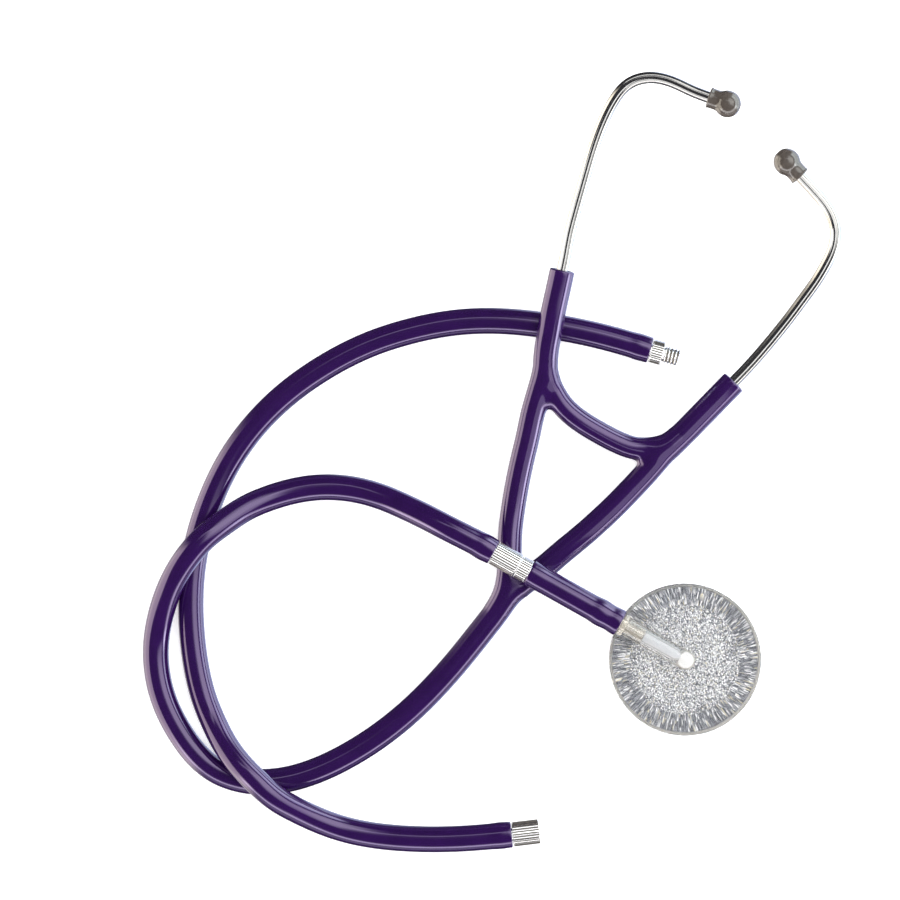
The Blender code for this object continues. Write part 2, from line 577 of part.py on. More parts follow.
def bar_form(make):
    """The bar on the disc: half-round on top and at its inner end, upright at its sides."""
    foot = DISC_TOP_Z - OVERRUN
    section = [(-BAR_R, foot)]
    for i in range(ARC_STEPS + 1):
        angle = math.pi * (1.0 - i / ARC_STEPS)
        section.append((BAR_R * math.cos(angle), CHEST_LINE_Z + BAR_R * math.sin(angle)))
    section.append((BAR_R, foot))
    mesh = bpy.data.meshes.new("bar_form")
    shape = bmesh.new()
    face = shape.faces.new([shape.verts.new((0.0, across, up)) for across, up in section])
    grown = bmesh.ops.extrude_face_region(shape, geom=[face])
    moved = [item for item in grown["geom"] if isinstance(item, bmesh.types.BMVert)]
    bmesh.ops.translate(shape, vec=(BAR_END, 0.0, 0.0), verts=moved)
    bmesh.ops.recalc_face_normals(shape, faces=shape.faces)
    shape.to_mesh(mesh)
    shape.free()
    bar = bpy.data.objects.new("bar_form", mesh)
    bar.rotation_euler = (0.0, 0.0, math.atan2(CHEST_LINE.y, CHEST_LINE.x))
    make.add(bar)
    quarter_steps = ARC_STEPS // 2
    outline = [(0.0, CHEST_LINE_Z + BAR_R)]
    for i in range(1, quarter_steps + 1):
        angle = math.pi / 2.0 * (1.0 - i / quarter_steps)
        outline.append((BAR_R * math.cos(angle), CHEST_LINE_Z + BAR_R * math.sin(angle)))
    outline += [(BAR_R, foot), (0.0, foot)]
    make.combine(bar, "UNION", make.turned("bar_end_form", outline, Matrix.Identity(4), ROUND_SMALL))
    return bar


def main():
    clear_scene()
    make = Builder()
    pvc = plain_material("purple_pvc", (0.035, 0.009, 0.085), 0.22)
    steel = plain_material("polished_steel", (0.62, 0.61, 0.59), 0.18, metallic=1.0)
    bright = plain_material("bright_nickel", (0.75, 0.75, 0.76), 0.25, metallic=1.0)
    silicone = plain_material("grey_silicone", (0.42, 0.40, 0.37), 0.35, transmission=0.4)
    rubber = plain_material("black_rubber", (0.02, 0.02, 0.02), 0.6)
    acrylic = plain_material("clear_acrylic", (0.95, 0.96, 0.97), 0.05, transmission=1.0)
    foil = plain_material("silver_glitter", (0.75, 0.76, 0.80), 0.3, metallic=0.8)
    rim = plain_material("clear_rim", (0.93, 0.94, 0.95), 0.1, transmission=1.0)
    film = plain_material("white_diaphragm", (0.85, 0.85, 0.83), 0.4)

    build_yoke(make, pvc, steel)
    sides = (
        ("left", LEFT_HINGE, LEFT_SLEEVE_END, LEFT_SLEEVE_LINE, LEFT_EAR_TUBE),
        ("right", RIGHT_HINGE, RIGHT_SLEEVE_END, RIGHT_SLEEVE_LINE, RIGHT_EAR_TUBE),
    )
    for side, hinge, end, line, points in sides:
        spread = make.axis_empty(side + "_spread_axis", hinge)
        twist = make.axis_empty(side + "_twist_axis", end, line, spread)
        build_sleeve(make, side, hinge, end, line, pvc, spread)
        tube_end, tube_line = build_ear_tube(make, side, points, end, line, steel, twist)
        tip = make.axis_empty(side + "_tip_axis", tube_end, tube_line, twist)
        build_ear_tip(make, side, tube_end, tube_line, steel, silicone, twist, tip)

    chest_axis = make.axis_empty("coupling_axis", on_chest_line(PLUG_FACE), -CHEST_LINE)
    ring_axis = make.axis_empty("ring_axis", (0.0, 0.0, 0.0), (0.0, 0.0, -1.0), chest_axis)
    build_chest_half(make, acrylic, foil, rim, film, pvc, bright, chest_axis, ring_axis)
    build_socket(make, "coupling_sleeve", on_chest_line(PLUG_FACE + GAP), CHEST_LINE, bright)
    washer_at = PLUG_FACE + STUB_LENGTH + GAP + WASHER_THICK / 2.0
    build_washer(make, "coupling_washer", on_chest_line(washer_at), CHEST_LINE, rubber, chest_axis)
    build_hose(make, "main_tube", MAIN_HOSE, pvc, ["end"])

    build_hose(make, "extension_tube", EXTENSION_HOSE, pvc, ["start", "end"])
    build_plug(make, "extension_plug", EXTENSION_PLUG_FACE, EXTENSION_PLUG_LINE, bright)
    build_socket(make, "extension_sleeve", EXTENSION_SLEEVE_FACE, EXTENSION_SLEEVE_LINE, bright)
    seal_depth = FEMALE_BORE_DEPTH - GAP - WASHER_THICK / 2.0
    build_washer(make, "extension_washer", EXTENSION_SLEEVE_FACE + EXTENSION_SLEEVE_LINE * seal_depth,
                 EXTENSION_SLEEVE_LINE, rubber)


main()
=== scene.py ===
import json
import math

import bmesh
import bpy
import numpy as np
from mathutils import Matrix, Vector
from mathutils.geometry import delaunay_2d_cdt


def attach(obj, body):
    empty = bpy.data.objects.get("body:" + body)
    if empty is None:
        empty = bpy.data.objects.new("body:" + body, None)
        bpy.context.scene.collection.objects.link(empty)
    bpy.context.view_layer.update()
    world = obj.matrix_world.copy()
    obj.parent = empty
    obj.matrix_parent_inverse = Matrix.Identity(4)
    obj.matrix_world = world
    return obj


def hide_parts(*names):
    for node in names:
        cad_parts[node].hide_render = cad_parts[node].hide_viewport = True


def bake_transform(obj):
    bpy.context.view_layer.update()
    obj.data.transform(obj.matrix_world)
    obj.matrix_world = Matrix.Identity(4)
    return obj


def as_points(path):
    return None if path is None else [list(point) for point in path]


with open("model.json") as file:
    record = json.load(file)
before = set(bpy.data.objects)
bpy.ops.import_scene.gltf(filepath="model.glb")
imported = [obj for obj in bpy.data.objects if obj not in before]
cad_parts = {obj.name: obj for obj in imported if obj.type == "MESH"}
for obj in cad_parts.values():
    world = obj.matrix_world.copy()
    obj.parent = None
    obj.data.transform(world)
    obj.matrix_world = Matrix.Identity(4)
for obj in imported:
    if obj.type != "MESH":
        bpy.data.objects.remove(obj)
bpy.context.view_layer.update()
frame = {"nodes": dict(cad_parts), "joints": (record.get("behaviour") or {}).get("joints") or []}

# Sizes that repeat the CAD's
HOSE_R = 0.0052
ARM_R = 0.0049
BRIDGE_R = 0.0046
EAR_TUBE_R = 0.00235
EAR_BORE_R = 0.0016
COLLAR_R = 0.0047
COLLAR_LENGTH = 0.0048
STUB_R = 0.0033
STUB_LENGTH = 0.0066
THREAD_PITCH = 0.0014
THREAD_DEPTH = 0.00045
FEMALE_R = 0.0049
FEMALE_LENGTH = 0.0107
FEMALE_BORE_R = 0.0036
FEMALE_BORE_DEPTH = 0.0079
FITTING_BORE_R = 0.0015
BARB_R = 0.0029
BARB_LENGTH = 0.0080
DISC_R = 0.03035
DISC_TOP_Z = 0.0094
CHEST_LINE_Z = 0.0156
BAR_R = 0.0038
BAR_END = 0.0270               # along that line
PLUG_FACE = 0.0766             # from the chestpiece's middle along its stem's line
CHEST_TUBE = (0.0298, 0.0715)  # its start and end along that line
GAP = 0.0003                   # between the coupling's two faces

# Joint places and lines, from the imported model
JOINTS = {joint["name"]: joint for joint in frame["joints"]}


def joint_line(name):
    return Vector(JOINTS[name]["axis"]).normalized()


CHEST_LINE = -joint_line("coupling_turn")
LEFT_HINGE = Vector(JOINTS["left_spread"]["pos_m"])
RIGHT_HINGE = Vector(JOINTS["right_spread"]["pos_m"])
LEFT_SLEEVE_END = Vector(JOINTS["left_tube_turn"]["pos_m"])
RIGHT_SLEEVE_END = Vector(JOINTS["right_tube_turn"]["pos_m"])
LEFT_SLEEVE_LINE = -joint_line("left_tube_turn")
RIGHT_SLEEVE_LINE = joint_line("right_tube_turn")
LEFT_TIP_LINE = joint_line("left_tip_pull")
RIGHT_TIP_LINE = joint_line("right_tip_pull")

# Routes, as in the CAD
STEM_AND_LEFT_ARM = [
    (-0.0793, 0.0140, 0.0052), (-0.0736, 0.0222, 0.0052), (-0.0709, 0.0305, 0.0051),
    (-0.0702, 0.0400, 0.0049), (-0.0698, 0.0518, 0.0049), (-0.0686, 0.0614, 0.0053),
    (-0.0670, 0.0708, 0.0062), (-0.0650, 0.0802, 0.0074), (-0.0628, 0.0896, 0.0088),
    (-0.0608, 0.0989, 0.0103), (-0.0580, 0.1090, 0.0119), (-0.0562, 0.1170, 0.0132),
    tuple(LEFT_HINGE),
]
RIGHT_ARM = [
    (-0.0745, 0.0208, 0.0052), (-0.0690, 0.0266, 0.0051), (-0.0625, 0.0321, 0.0050),
    (-0.0556, 0.0374, 0.0049), (-0.0494, 0.0427, 0.0049), (-0.0420, 0.0488, 0.0049),
    (-0.0348, 0.0551, 0.0049), (-0.0278, 0.0617, 0.0049), (-0.0211, 0.0686, 0.0049),
    (-0.0145, 0.0757, 0.0049), (-0.0077, 0.0834, 0.0049), tuple(RIGHT_HINGE),
]
BRIDGE = [
    (-0.0553, 0.1172, 0.0133), (-0.0535, 0.1102, 0.0121), (-0.0512, 0.1048, 0.0111),
    (-0.0472, 0.0997, 0.0100), (-0.0416, 0.0952, 0.0087), (-0.0342, 0.0907, 0.0072),
    (-0.0266, 0.0868, 0.0060), (-0.0197, 0.0845, 0.0053), (-0.0129, 0.0845, 0.0050),
    (-0.0060, 0.0861, 0.0049), (-0.0022, 0.0886, 0.0049),
]
LEFT_EAR_TUBE = [
    (-0.0467, 0.1686, 0.0186), (-0.0444, 0.1779, 0.0193), (-0.0418, 0.1872, 0.0200),
    (-0.0392, 0.1964, 0.0207), (-0.0364, 0.2056, 0.0213), (-0.0330, 0.2146, 0.0219),
    (-0.0287, 0.2230, 0.0225), (-0.0226, 0.2298, 0.0231), (-0.0134, 0.2321, 0.0238),
    (-0.0042, 0.2298, 0.0246), (0.0024, 0.2267, 0.0252), (0.0109, 0.2235, 0.0260),
]
RIGHT_EAR_TUBE = [
    (0.0270, 0.1189, 0.0050), (0.0323, 0.1250, 0.0051), (0.0375, 0.1313, 0.0053),
    (0.0426, 0.1378, 0.0055), (0.0474, 0.1443, 0.0058), (0.0521, 0.1508, 0.0061),
    (0.0562, 0.1576, 0.0065), (0.0594, 0.1650, 0.0070), (0.0599, 0.1730, 0.0077),
    (0.0571, 0.1802, 0.0085), (0.0523, 0.1863, 0.0093), (0.0446, 0.1946, 0.0103),
]
MAIN_HOSE = [
    (-0.0795, 0.0137, 0.0052), (-0.0910, -0.0006, 0.0052), (-0.1039, -0.0148, 0.0052),
    (-0.1183, -0.0275, 0.0052), (-0.1343, -0.0381, 0.0052), (-0.1518, -0.0460, 0.0052),
    (-0.1707, -0.0489, 0.0052), (-0.1888, -0.0436, 0.0052), (-0.2018, -0.0295, 0.0052),
    (-0.2097, -0.0121, 0.0052), (-0.2115, 0.0069, 0.0055), (-0.2100, 0.0163, 0.0074),
    (-0.2072, 0.0255, 0.0107), (-0.2032, 0.0342, 0.0143), (-0.1979, 0.0422, 0.0161),
    (-0.1914, 0.0493, 0.0159), (-0.1838, 0.0551, 0.0133), (-0.1758, 0.0604, 0.0098),
    (-0.1670, 0.0643, 0.0071), (-0.1578, 0.0671, 0.0057), (-0.1484, 0.0687, 0.0052),
    (-0.1293, 0.0674, 0.0056), (-0.1201, 0.0646, 0.0072), (-0.1113, 0.0608, 0.0098),
    (-0.1026, 0.0566, 0.0128), (-0.0941, 0.0522, 0.0150), (-0.0856, 0.0479, 0.0156),
    (-0.0766, 0.0430, 0.0156),
]
EXTENSION_HOSE = [
    (-0.0139, 0.1237, 0.0052), (-0.0324, 0.1290, 0.0052), (-0.0512, 0.1329, 0.0052),
    (-0.0704, 0.1352, 0.0052), (-0.0896, 0.1350, 0.0052), (-0.1084, 0.1317, 0.0052),
    (-0.1267, 0.1258, 0.0052), (-0.1438, 0.1171, 0.0052), (-0.1595, 0.1060, 0.0052),
    (-0.1730, 0.0925, 0.0052), (-0.1838, 0.0766, 0.0052), (-0.1915, 0.0590, 0.0052),
    (-0.1963, 0.0405, 0.0052), (-0.1977, 0.0213, 0.0052), (-0.1963, 0.0022, 0.0052),
    (-0.1920, -0.0166, 0.0061), (-0.1883, -0.0254, 0.0080), (-0.1838, -0.0338, 0.0112),
    (-0.1780, -0.0415, 0.0147), (-0.1713, -0.0484, 0.0162), (-0.1642, -0.0547, 0.0147),
    (-0.1559, -0.0597, 0.0113), (-0.1472, -0.0639, 0.0081), (-0.1382, -0.0673, 0.0060),
    (-0.1289, -0.0696, 0.0052), (-0.1098, -0.0717, 0.0052), (-0.0906, -0.0717, 0.0052),
    (-0.0693, -0.0700, 0.0052),
]
EXTENSION_PLUG_FACE = Vector((-0.0089, 0.1223, 0.0052))
EXTENSION_PLUG_LINE = Vector((0.961, -0.275, 0.0)).normalized()
EXTENSION_SLEEVE_FACE = Vector((-0.0583, -0.0687, 0.0052))
EXTENSION_SLEEVE_LINE = Vector((-0.9932, -0.1165, 0.0)).normalized()


# ---------------------------------------------------------------- paths and swept meshes

def spline_points(points, step):
    """Points about step apart on the natural cubic spline through a route's points."""
    knots = np.array([tuple(point) for point in points])
    chord = np.linalg.norm(np.diff(knots, axis=0), axis=1)
    count = len(knots)
    matrix = np.eye(count)
    right_side = np.zeros((count, 3))
    for i in range(1, count - 1):
        before, after = chord[i - 1], chord[i]
        matrix[i, i - 1:i + 2] = before, 2.0 * (before + after), after
        right_side[i] = 6.0 * ((knots[i + 1] - knots[i]) / after - (knots[i] - knots[i - 1]) / before)
    second = np.linalg.solve(matrix, right_side)
    share = np.linspace(0.0, 1.0, 24, endpoint=False)[:, None]
    dense = []
    for i in range(count - 1):
        cubic_a = ((1.0 - share) ** 3 - (1.0 - share)) * second[i]
        cubic_b = (share ** 3 - share) * second[i + 1]
        straight = (1.0 - share) * knots[i] + share * knots[i + 1]
        dense.append(straight + (cubic_a + cubic_b) * chord[i] ** 2 / 6.0)
    dense = np.vstack(dense + [knots[-1:]])
    along = distances_along(dense)
    marks = np.linspace(0.0, along[-1], max(2, round(along[-1] / step) + 1))
    return np.stack([np.interp(marks, along, dense[:, axis]) for axis in range(3)], axis=1)


def distances_along(line):
    return np.concatenate(([0.0], np.cumsum(np.linalg.norm(np.diff(line, axis=0), axis=1))))


def unit(vectors):
    return vectors / np.maximum(np.linalg.norm(vectors, axis=-1, keepdims=True), 1e-9)


def squared_to(side, tangent):
    """side without its part along the tangent, as a unit vector."""
    return unit(side - tangent * np.dot(side, tangent))


class Path:
    """A line in space with a frame carried along it; distances past its ends run straight on."""

    def __init__(self, points):
        self.points = np.array([tuple(point) for point in points], float)
        self.along = distances_along(self.points)
        self.length = self.along[-1]
        directions = unit(np.diff(self.points, axis=0))
        self.tangents = unit(np.vstack([directions[:1], directions[:-1] + directions[1:], directions[-1:]]))
        side = np.cross((0.0, 0.0, 1.0), self.tangents[0])
        if np.linalg.norm(side) < 0.1:
            side = np.array((1.0, 0.0, 0.0))
        sides = []
        for tangent in self.tangents:
            side = squared_to(side, tangent)
            sides.append(side)
        self.sides = np.array(sides)

    def frame(self, distance):
        """Place, direction and two cross directions at a distance along the path."""
        inside = min(max(distance, 0.0), self.length)
        place, tangent, side = [
            np.array([np.interp(inside, self.along, table[:, axis]) for axis in range(3)])
            for table in (self.points, self.tangents, self.sides)]
        tangent = unit(tangent)
        side = squared_to(side, tangent)
        return place + tangent * (distance - inside), tangent, side, np.cross(tangent, side)


def straight_path(origin, direction):
    origin = Vector(origin)
    return Path([origin, origin + Vector(direction).normalized()])


UPRIGHT = straight_path((0.0, 0.0, 0.0), (0.0, 0.0, 1.0))
CHEST_PATH = straight_path((0.0, 0.0, CHEST_LINE_Z), CHEST_LINE)


def add_object(name, data):
    made = bpy.data.objects.new(name, data)
    bpy.context.scene.collection.objects.link(made)
    return made


def stand_for(piece, body, node):
    """Hides the CAD node that a piece replaces and attaches the piece to its body; a piece given no body
    stays unattached.
    """
    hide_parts(node)
    if body:
        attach(piece, body)


def new_piece(name, mesh, finish, body, node):
    """The object that stands for one CAD node; a mesh that has its materials takes no finish."""
    piece = add_object(name, mesh)
    if finish:
        mesh.materials.append(MATERIALS[finish])
    stand_for(piece, body, node)
    return piece


def smooth(mesh, sharp_degrees=38.0):
    mesh.shade_smooth()
    mesh.set_sharp_from_angle(angle=math.radians(sharp_degrees))


def swept_mesh(name, path, profile, sides, ripple=None, closed=False, sharp=38.0):
    """A mesh of rings round a path.

    profile holds (distance, radius) pairs; a zero radius is a pole. closed joins the last ring to
    the first. ripple(angles, distance, radius) may change a ring's radius into a NumPy array.
    """
    angles = np.arange(sides) * 2.0 * math.pi / sides
    verts, rings = [], []
    for distance, radius in profile:
        place, _, side, up = path.frame(distance)
        if radius <= 0.0:
            rings.append([len(verts)])
            verts.append(place)
            continue
        radii = ripple(angles, distance, radius) if ripple else np.full(sides, radius)
        rings.append(list(range(len(verts), len(verts) + sides)))
        across = (np.cos(angles) * radii)[:, None] * side
        verts.extend(place + across + (np.sin(angles) * radii)[:, None] * up)
    faces = []
    for first, second in zip(rings, rings[1:] + (rings[:1] if closed else [])):
        for i in range(sides):
            j = (i + 1) % sides
            if len(first) == 1:
                faces.append((first[0], second[j], second[i]))
            elif len(second) == 1:
                faces.append((first[i], first[j], second[0]))
            else:
                faces.append((first[i], first[j], second[j], second[i]))
    if not closed:
        for ring in (rings[0][::-1], rings[-1]):
            if len(ring) > 1:
                faces.append(tuple(ring))
    mesh = bpy.data.meshes.new(name)
    mesh.from_pydata([tuple(vert) for vert in verts], [], faces)
    fix_normals(mesh)
    smooth(mesh, sharp)
    return mesh


def fix_normals(mesh):
    shape = bmesh.new()
    shape.from_mesh(mesh)
    bmesh.ops.recalc_face_normals(shape, faces=shape.faces)
    shape.to_mesh(mesh)
    shape.free()


def arc(centre, radius, start, end, steps):
    """(distance, radius) pairs on an arc; angles in degrees from the +distance direction."""
    angles = [math.radians(start + (end - start) * i / steps) for i in range(steps + 1)]
    along, up = centre
    return [(along + radius * math.cos(angle), up + radius * math.sin(angle)) for angle in angles]


def even_profile(start, end, radius_at, step=0.0012):
    """(distance, radius) pairs from start to end at an even spacing."""
    count = max(2, round(abs(end - start) / step))
    marks = [start + (end - start) * i / count for i in range(count + 1)]
    return [(mark, radius_at(mark)) for mark in marks]


def level_profile(start, end, radius, step=0.0012):
    """(distance, radius) pairs of one radius from start to end at an even spacing."""
    return even_profile(start, end, lambda distance: radius, step)


def bump_at(distance, centre, width):
    """A smooth hump of height 1 that is width wide."""
    reach = abs(distance - centre) / (width / 2.0)
    return 0.5 + 0.5 * math.cos(math.pi * reach) if reach < 1.0 else 0.0


# ---------------------------------------------------------------- materials

class Tree:
    """Short calls for building a node tree."""

    def __init__(self, tree):
        self.tree = tree

    def feed(self, socket, value):
        if isinstance(value, bpy.types.NodeSocket):
            self.tree.links.new(value, socket)
        else:
            socket.default_value = value

    def add(self, kind, **settings):
        """A node; each setting is fed to the input of its name, or else is one of its options."""
        node = self.tree.nodes.new(kind)
        for key, value in settings.items():
            socket = node.inputs.get(key.replace("_", " "))
            if socket:
                self.feed(socket, value)
            else:
                setattr(node, key, value)
        return node


class Surface(Tree):
    """A material's node tree around its shader."""

    def __init__(self, name):
        self.material = bpy.data.materials.new(name)
        self.material.use_nodes = True
        super().__init__(self.material.node_tree)
        self.shader = self.tree.nodes["Principled BSDF"]
        self.place = self.add("ShaderNodeTexCoord").outputs["Object"]

    def set(self, **values):
        for key, value in values.items():
            self.feed(self.shader.inputs[key.replace("_", " ")], value)

    def noise(self, scale, detail=4.0):
        node = self.add("ShaderNodeTexNoise", Scale=scale, Detail=detail, Roughness=0.5, Vector=self.place)
        return node.outputs["Fac"]

    def tint(self, source, dark, light, start=0.3, end=0.7):
        """Base colour from dark to light while the source goes from start to end."""
        node = self.add("ShaderNodeValToRGB", Fac=source)
        for element, place, colour in zip(node.color_ramp.elements, (start, end), (dark, light)):
            element.position = place
            element.color = (*colour, 1.0)
        self.set(Base_Color=node.outputs["Color"])

    def gloss(self, source, low, high):
        """Roughness from low to high with the source."""
        node = self.add("ShaderNodeMapRange", Value=source, To_Min=low, To_Max=high)
        self.set(Roughness=node.outputs["Result"])

    def bump(self, height, strength, distance=0.0001):
        node = self.add("ShaderNodeBump", Strength=strength, Distance=distance, Height=height)
        self.set(Normal=node.outputs["Normal"])


def purple_pvc(pvc):
    """Glossy moulded PVC: deep purple, with faint mottling and moulding ripple."""
    pvc.tint(pvc.noise(160.0), (0.0152, 0.0029, 0.0440), (0.0186, 0.0036, 0.0530))
    pvc.gloss(pvc.noise(420.0, 5.0), 0.08, 0.13)
    pvc.bump(pvc.noise(230.0, 3.0), 0.04)
    pvc.set(IOR=1.52, Specular_IOR_Level=1.0, Specular_Tint=(0.80, 0.67, 1.0, 1.0))


def polished_steel(steel):
    """Bright drawn tube: faint lengthwise haze and small variations in gloss."""
    steel.tint(steel.noise(300.0, 5.0), (0.38, 0.375, 0.365), (0.44, 0.435, 0.425))
    steel.gloss(steel.noise(900.0), 0.11, 0.18)
    steel.bump(steel.noise(500.0, 2.0), 0.05)
    steel.set(Metallic=1.0)


def bright_nickel(nickel):
    """Machined and plated fittings, with fine turning marks in their gloss."""
    nickel.tint(nickel.noise(500.0), (0.70, 0.70, 0.70), (0.80, 0.80, 0.80))
    nickel.gloss(nickel.noise(2200.0), 0.14, 0.26)
    nickel.bump(nickel.noise(3000.0, 2.0), 0.08, 0.00005)
    nickel.set(Metallic=1.0)


def dark_groove(groove):
    """The roots of knurls and threads: painted shade in the grooves, where the plating is also dull."""
    groove_mottle = groove.noise(1500.0)
    groove.tint(groove_mottle, (0.075, 0.064, 0.050), (0.16, 0.145, 0.125))
    groove.gloss(groove_mottle, 0.35, 0.55)
    groove.set(Metallic=0.6)


def spring_steel(strip):
    """Rolled strip, dull along its grain."""
    grain = strip.noise(900.0)
    strip.tint(grain, (0.42, 0.42, 0.43), (0.55, 0.55, 0.56))
    strip.bump(grain, 0.1)
    strip.set(Metallic=1.0, Roughness=0.35)


def grey_silicone(silicone):
    """Smoky, translucent ear tips with a satin skin."""
    silicone.tint(silicone.noise(200.0, 3.0), (0.085, 0.071, 0.063), (0.115, 0.098, 0.088))
    silicone.gloss(silicone.noise(900.0), 0.06, 0.12)
    silicone.set(IOR=1.45, Transmission_Weight=0.30, Specular_IOR_Level=1.0)


def black_rubber(rubber):
    """Matte seal washers with a little dust."""
    dust = rubber.noise(1400.0, 5.0)
    rubber.tint(dust, (0.012, 0.012, 0.012), (0.035, 0.034, 0.033), end=0.8)
    rubber.gloss(dust, 0.5, 0.7)
    rubber.bump(dust, 0.2)


def acrylic(surface, scale, dark, light, transmission):
    """What the acrylics share; gives back their haze."""
    haze = surface.noise(scale)
    surface.tint(haze, dark, light)
    surface.set(Transmission_Weight=transmission, IOR=1.49)
    return haze


def clear_acrylic(clear):
    """Polished clear acrylic with a breath of surface haze."""
    clear.gloss(acrylic(clear, 700.0, (0.975, 0.978, 0.985), (0.995, 0.996, 1.0), 1.0), 0.0, 0.01)


def smoky_acrylic(smoky):
    """A grey-brown cast: the tint of the screwed ring under the disc, and painted edge shade on the bar's
    upright sides.
    """
    smoky.gloss(acrylic(smoky, 700.0, (0.60, 0.56, 0.50), (0.68, 0.64, 0.58), 0.9), 0.03, 0.08)


def drilled_acrylic(drilled):
    """The walls of the drilled bores, left matte and milky by the drill."""
    drilled.gloss(acrylic(drilled, 1800.0, (0.74, 0.76, 0.80), (0.86, 0.87, 0.90), 0.35), 0.45, 0.65)


def milled_acrylic(milled):
    """The wall and end of the wide middle bore, left white by the cutter."""
    acrylic(milled, 1800.0, (0.93, 0.93, 0.93), (0.98, 0.98, 0.98), 0.1)
    milled.set(Roughness=0.6)


def frosted_acrylic(frosted):
    """The stem insert: clear plastic with a moulded, slightly frosted skin."""
    frosted.gloss(acrylic(frosted, 900.0, (0.82, 0.77, 0.68), (0.90, 0.86, 0.78), 0.75), 0.06, 0.12)


def silver_glitter(glitter):
    """Metallised film in small tilted flakes; each flake's tint comes from its mesh colour."""
    glitter.set(Base_Color=glitter.add("ShaderNodeAttribute", attribute_name="flake_tint").outputs["Color"])
    glitter.gloss(glitter.noise(3000.0, 2.0), 0.30, 0.50)
    glitter.set(Metallic=0.35)


def white_diaphragm(sheet):
    """Stiff satin sheet with a fine cellular texture."""
    cells = sheet.add("ShaderNodeTexVoronoi", Scale=1500.0, Vector=sheet.place).outputs["Distance"]
    sheet.tint(cells, (0.80, 0.80, 0.78), (0.87, 0.87, 0.86), 0.1, 0.6)
    sheet.bump(cells, 0.15)
    sheet.set(Roughness=0.38)


MATERIALS = {}
for paint in (purple_pvc, polished_steel, bright_nickel, dark_groove, spring_steel, grey_silicone,
              black_rubber, clear_acrylic, smoky_acrylic, drilled_acrylic, milled_acrylic,
              frosted_acrylic, silver_glitter, white_diaphragm):
    finish_surface = Surface(paint.__name__)
    paint(finish_surface)
    MATERIALS[paint.__name__] = finish_surface.material


# ---------------------------------------------------------------- camera, lights, floor

CAMERA_HEIGHT = 4.0
VIEW_WIDTH = 0.36              # width that the picture shows, at the height of the hoses' middle
VIEW_CENTRE = (-0.0940, 0.0838)
VIEW_MIDDLE = (*VIEW_CENTRE, 0.0)
SENSOR = 36.0
FLOOR_Z = -0.0001
SIDE_SOFT = 0.12               # how gradually a card's upright edges fade


def make_camera():
    data = bpy.data.cameras.new("camera")
    data.sensor_width = SENSOR
    data.lens = SENSOR * (CAMERA_HEIGHT - HOSE_R) / VIEW_WIDTH
    data.clip_start = 0.01
    data.clip_end = 50.0
    camera = add_object("camera", data)
    camera.location = (*VIEW_CENTRE, CAMERA_HEIGHT)
    bpy.context.scene.camera = camera


def area_light(name, place, target, size, power):
    data = bpy.data.lights.new(name, "AREA")
    data.shape = "RECTANGLE"
    data.size, data.size_y = size
    data.energy = power
    light = add_object(name, data)
    light.location = place
    light.rotation_euler = (Vector(target) - Vector(place)).to_track_quat("-Z", "Y").to_euler()
    return light


def towards(azimuth, tilt):
    """The direction with an azimuth from +X and a tilt from straight up, in degrees."""
    azimuth, tilt = math.radians(azimuth), math.radians(tilt)
    return (math.sin(tilt) * math.cos(azimuth), math.sin(tilt) * math.sin(azimuth), math.cos(tilt))


class StudioSky(Tree):
    """A dark surround with soft bright cards in it, as a world shader."""

    def __init__(self):
        world = bpy.data.worlds.new("studio")
        bpy.context.scene.world = world
        world.use_nodes = True
        super().__init__(world.node_tree)
        self.direction = self.add("ShaderNodeTexCoord").outputs["Generated"]
        self.total = None

    def combine(self, operation, first, second, kind="ShaderNodeVectorMath", result="Vector"):
        node = self.add(kind, operation=operation)
        self.feed(node.inputs[0], first)
        self.feed(node.inputs[1], second)
        return node.outputs[result]

    def facing(self, azimuth, tilt):
        """The cosine between the looked-at direction and the one with this azimuth and tilt."""
        return self.combine("DOT_PRODUCT", self.direction, towards(azimuth, tilt), result="Value")

    def soft_step(self, source, low, high):
        """0 below low and 1 above high, with a smooth passage."""
        node = self.add("ShaderNodeMapRange", interpolation_type="SMOOTHSTEP", From_Min=low, From_Max=high,
                        Value=source)
        return node.outputs["Result"]

    def product(self, first, second):
        return self.combine("MULTIPLY", first, second, "ShaderNodeMath", "Value")

    def shine(self, strength, colour):
        tinted = self.combine("MULTIPLY", strength, colour)
        self.total = self.combine("ADD", self.total, tinted) if self.total else tinted

    def disc_card(self, azimuth, tilt, inner, outer, colour):
        """A round card: full to inner degrees from its middle, gone at outer."""
        inner, outer = math.cos(math.radians(inner)), math.cos(math.radians(outer))
        self.shine(self.soft_step(self.facing(azimuth, tilt), outer, inner), colour)

    def card(self, azimuths, tilts, soft, colour):
        """A card between two azimuths less than 180 degrees apart and between two tilts."""
        height = self.combine("DOT_PRODUCT", self.direction, (0.0, 0.0, 1.0), result="Value")
        top, bottom = (math.cos(math.radians(tilt)) for tilt in tilts)
        share = self.product(self.soft_step(height, bottom - soft, bottom + soft),
                             self.soft_step(height, top + soft, top - soft))
        for azimuth in (azimuths[0] + 90.0, azimuths[1] - 90.0):
            share = self.product(share, self.soft_step(self.facing(azimuth, 90.0), -SIDE_SOFT, SIDE_SOFT))
        self.shine(share, colour)

    def finish(self, dark):
        self.feed(self.tree.nodes["Background"].inputs["Color"], self.combine("ADD", self.total, dark))


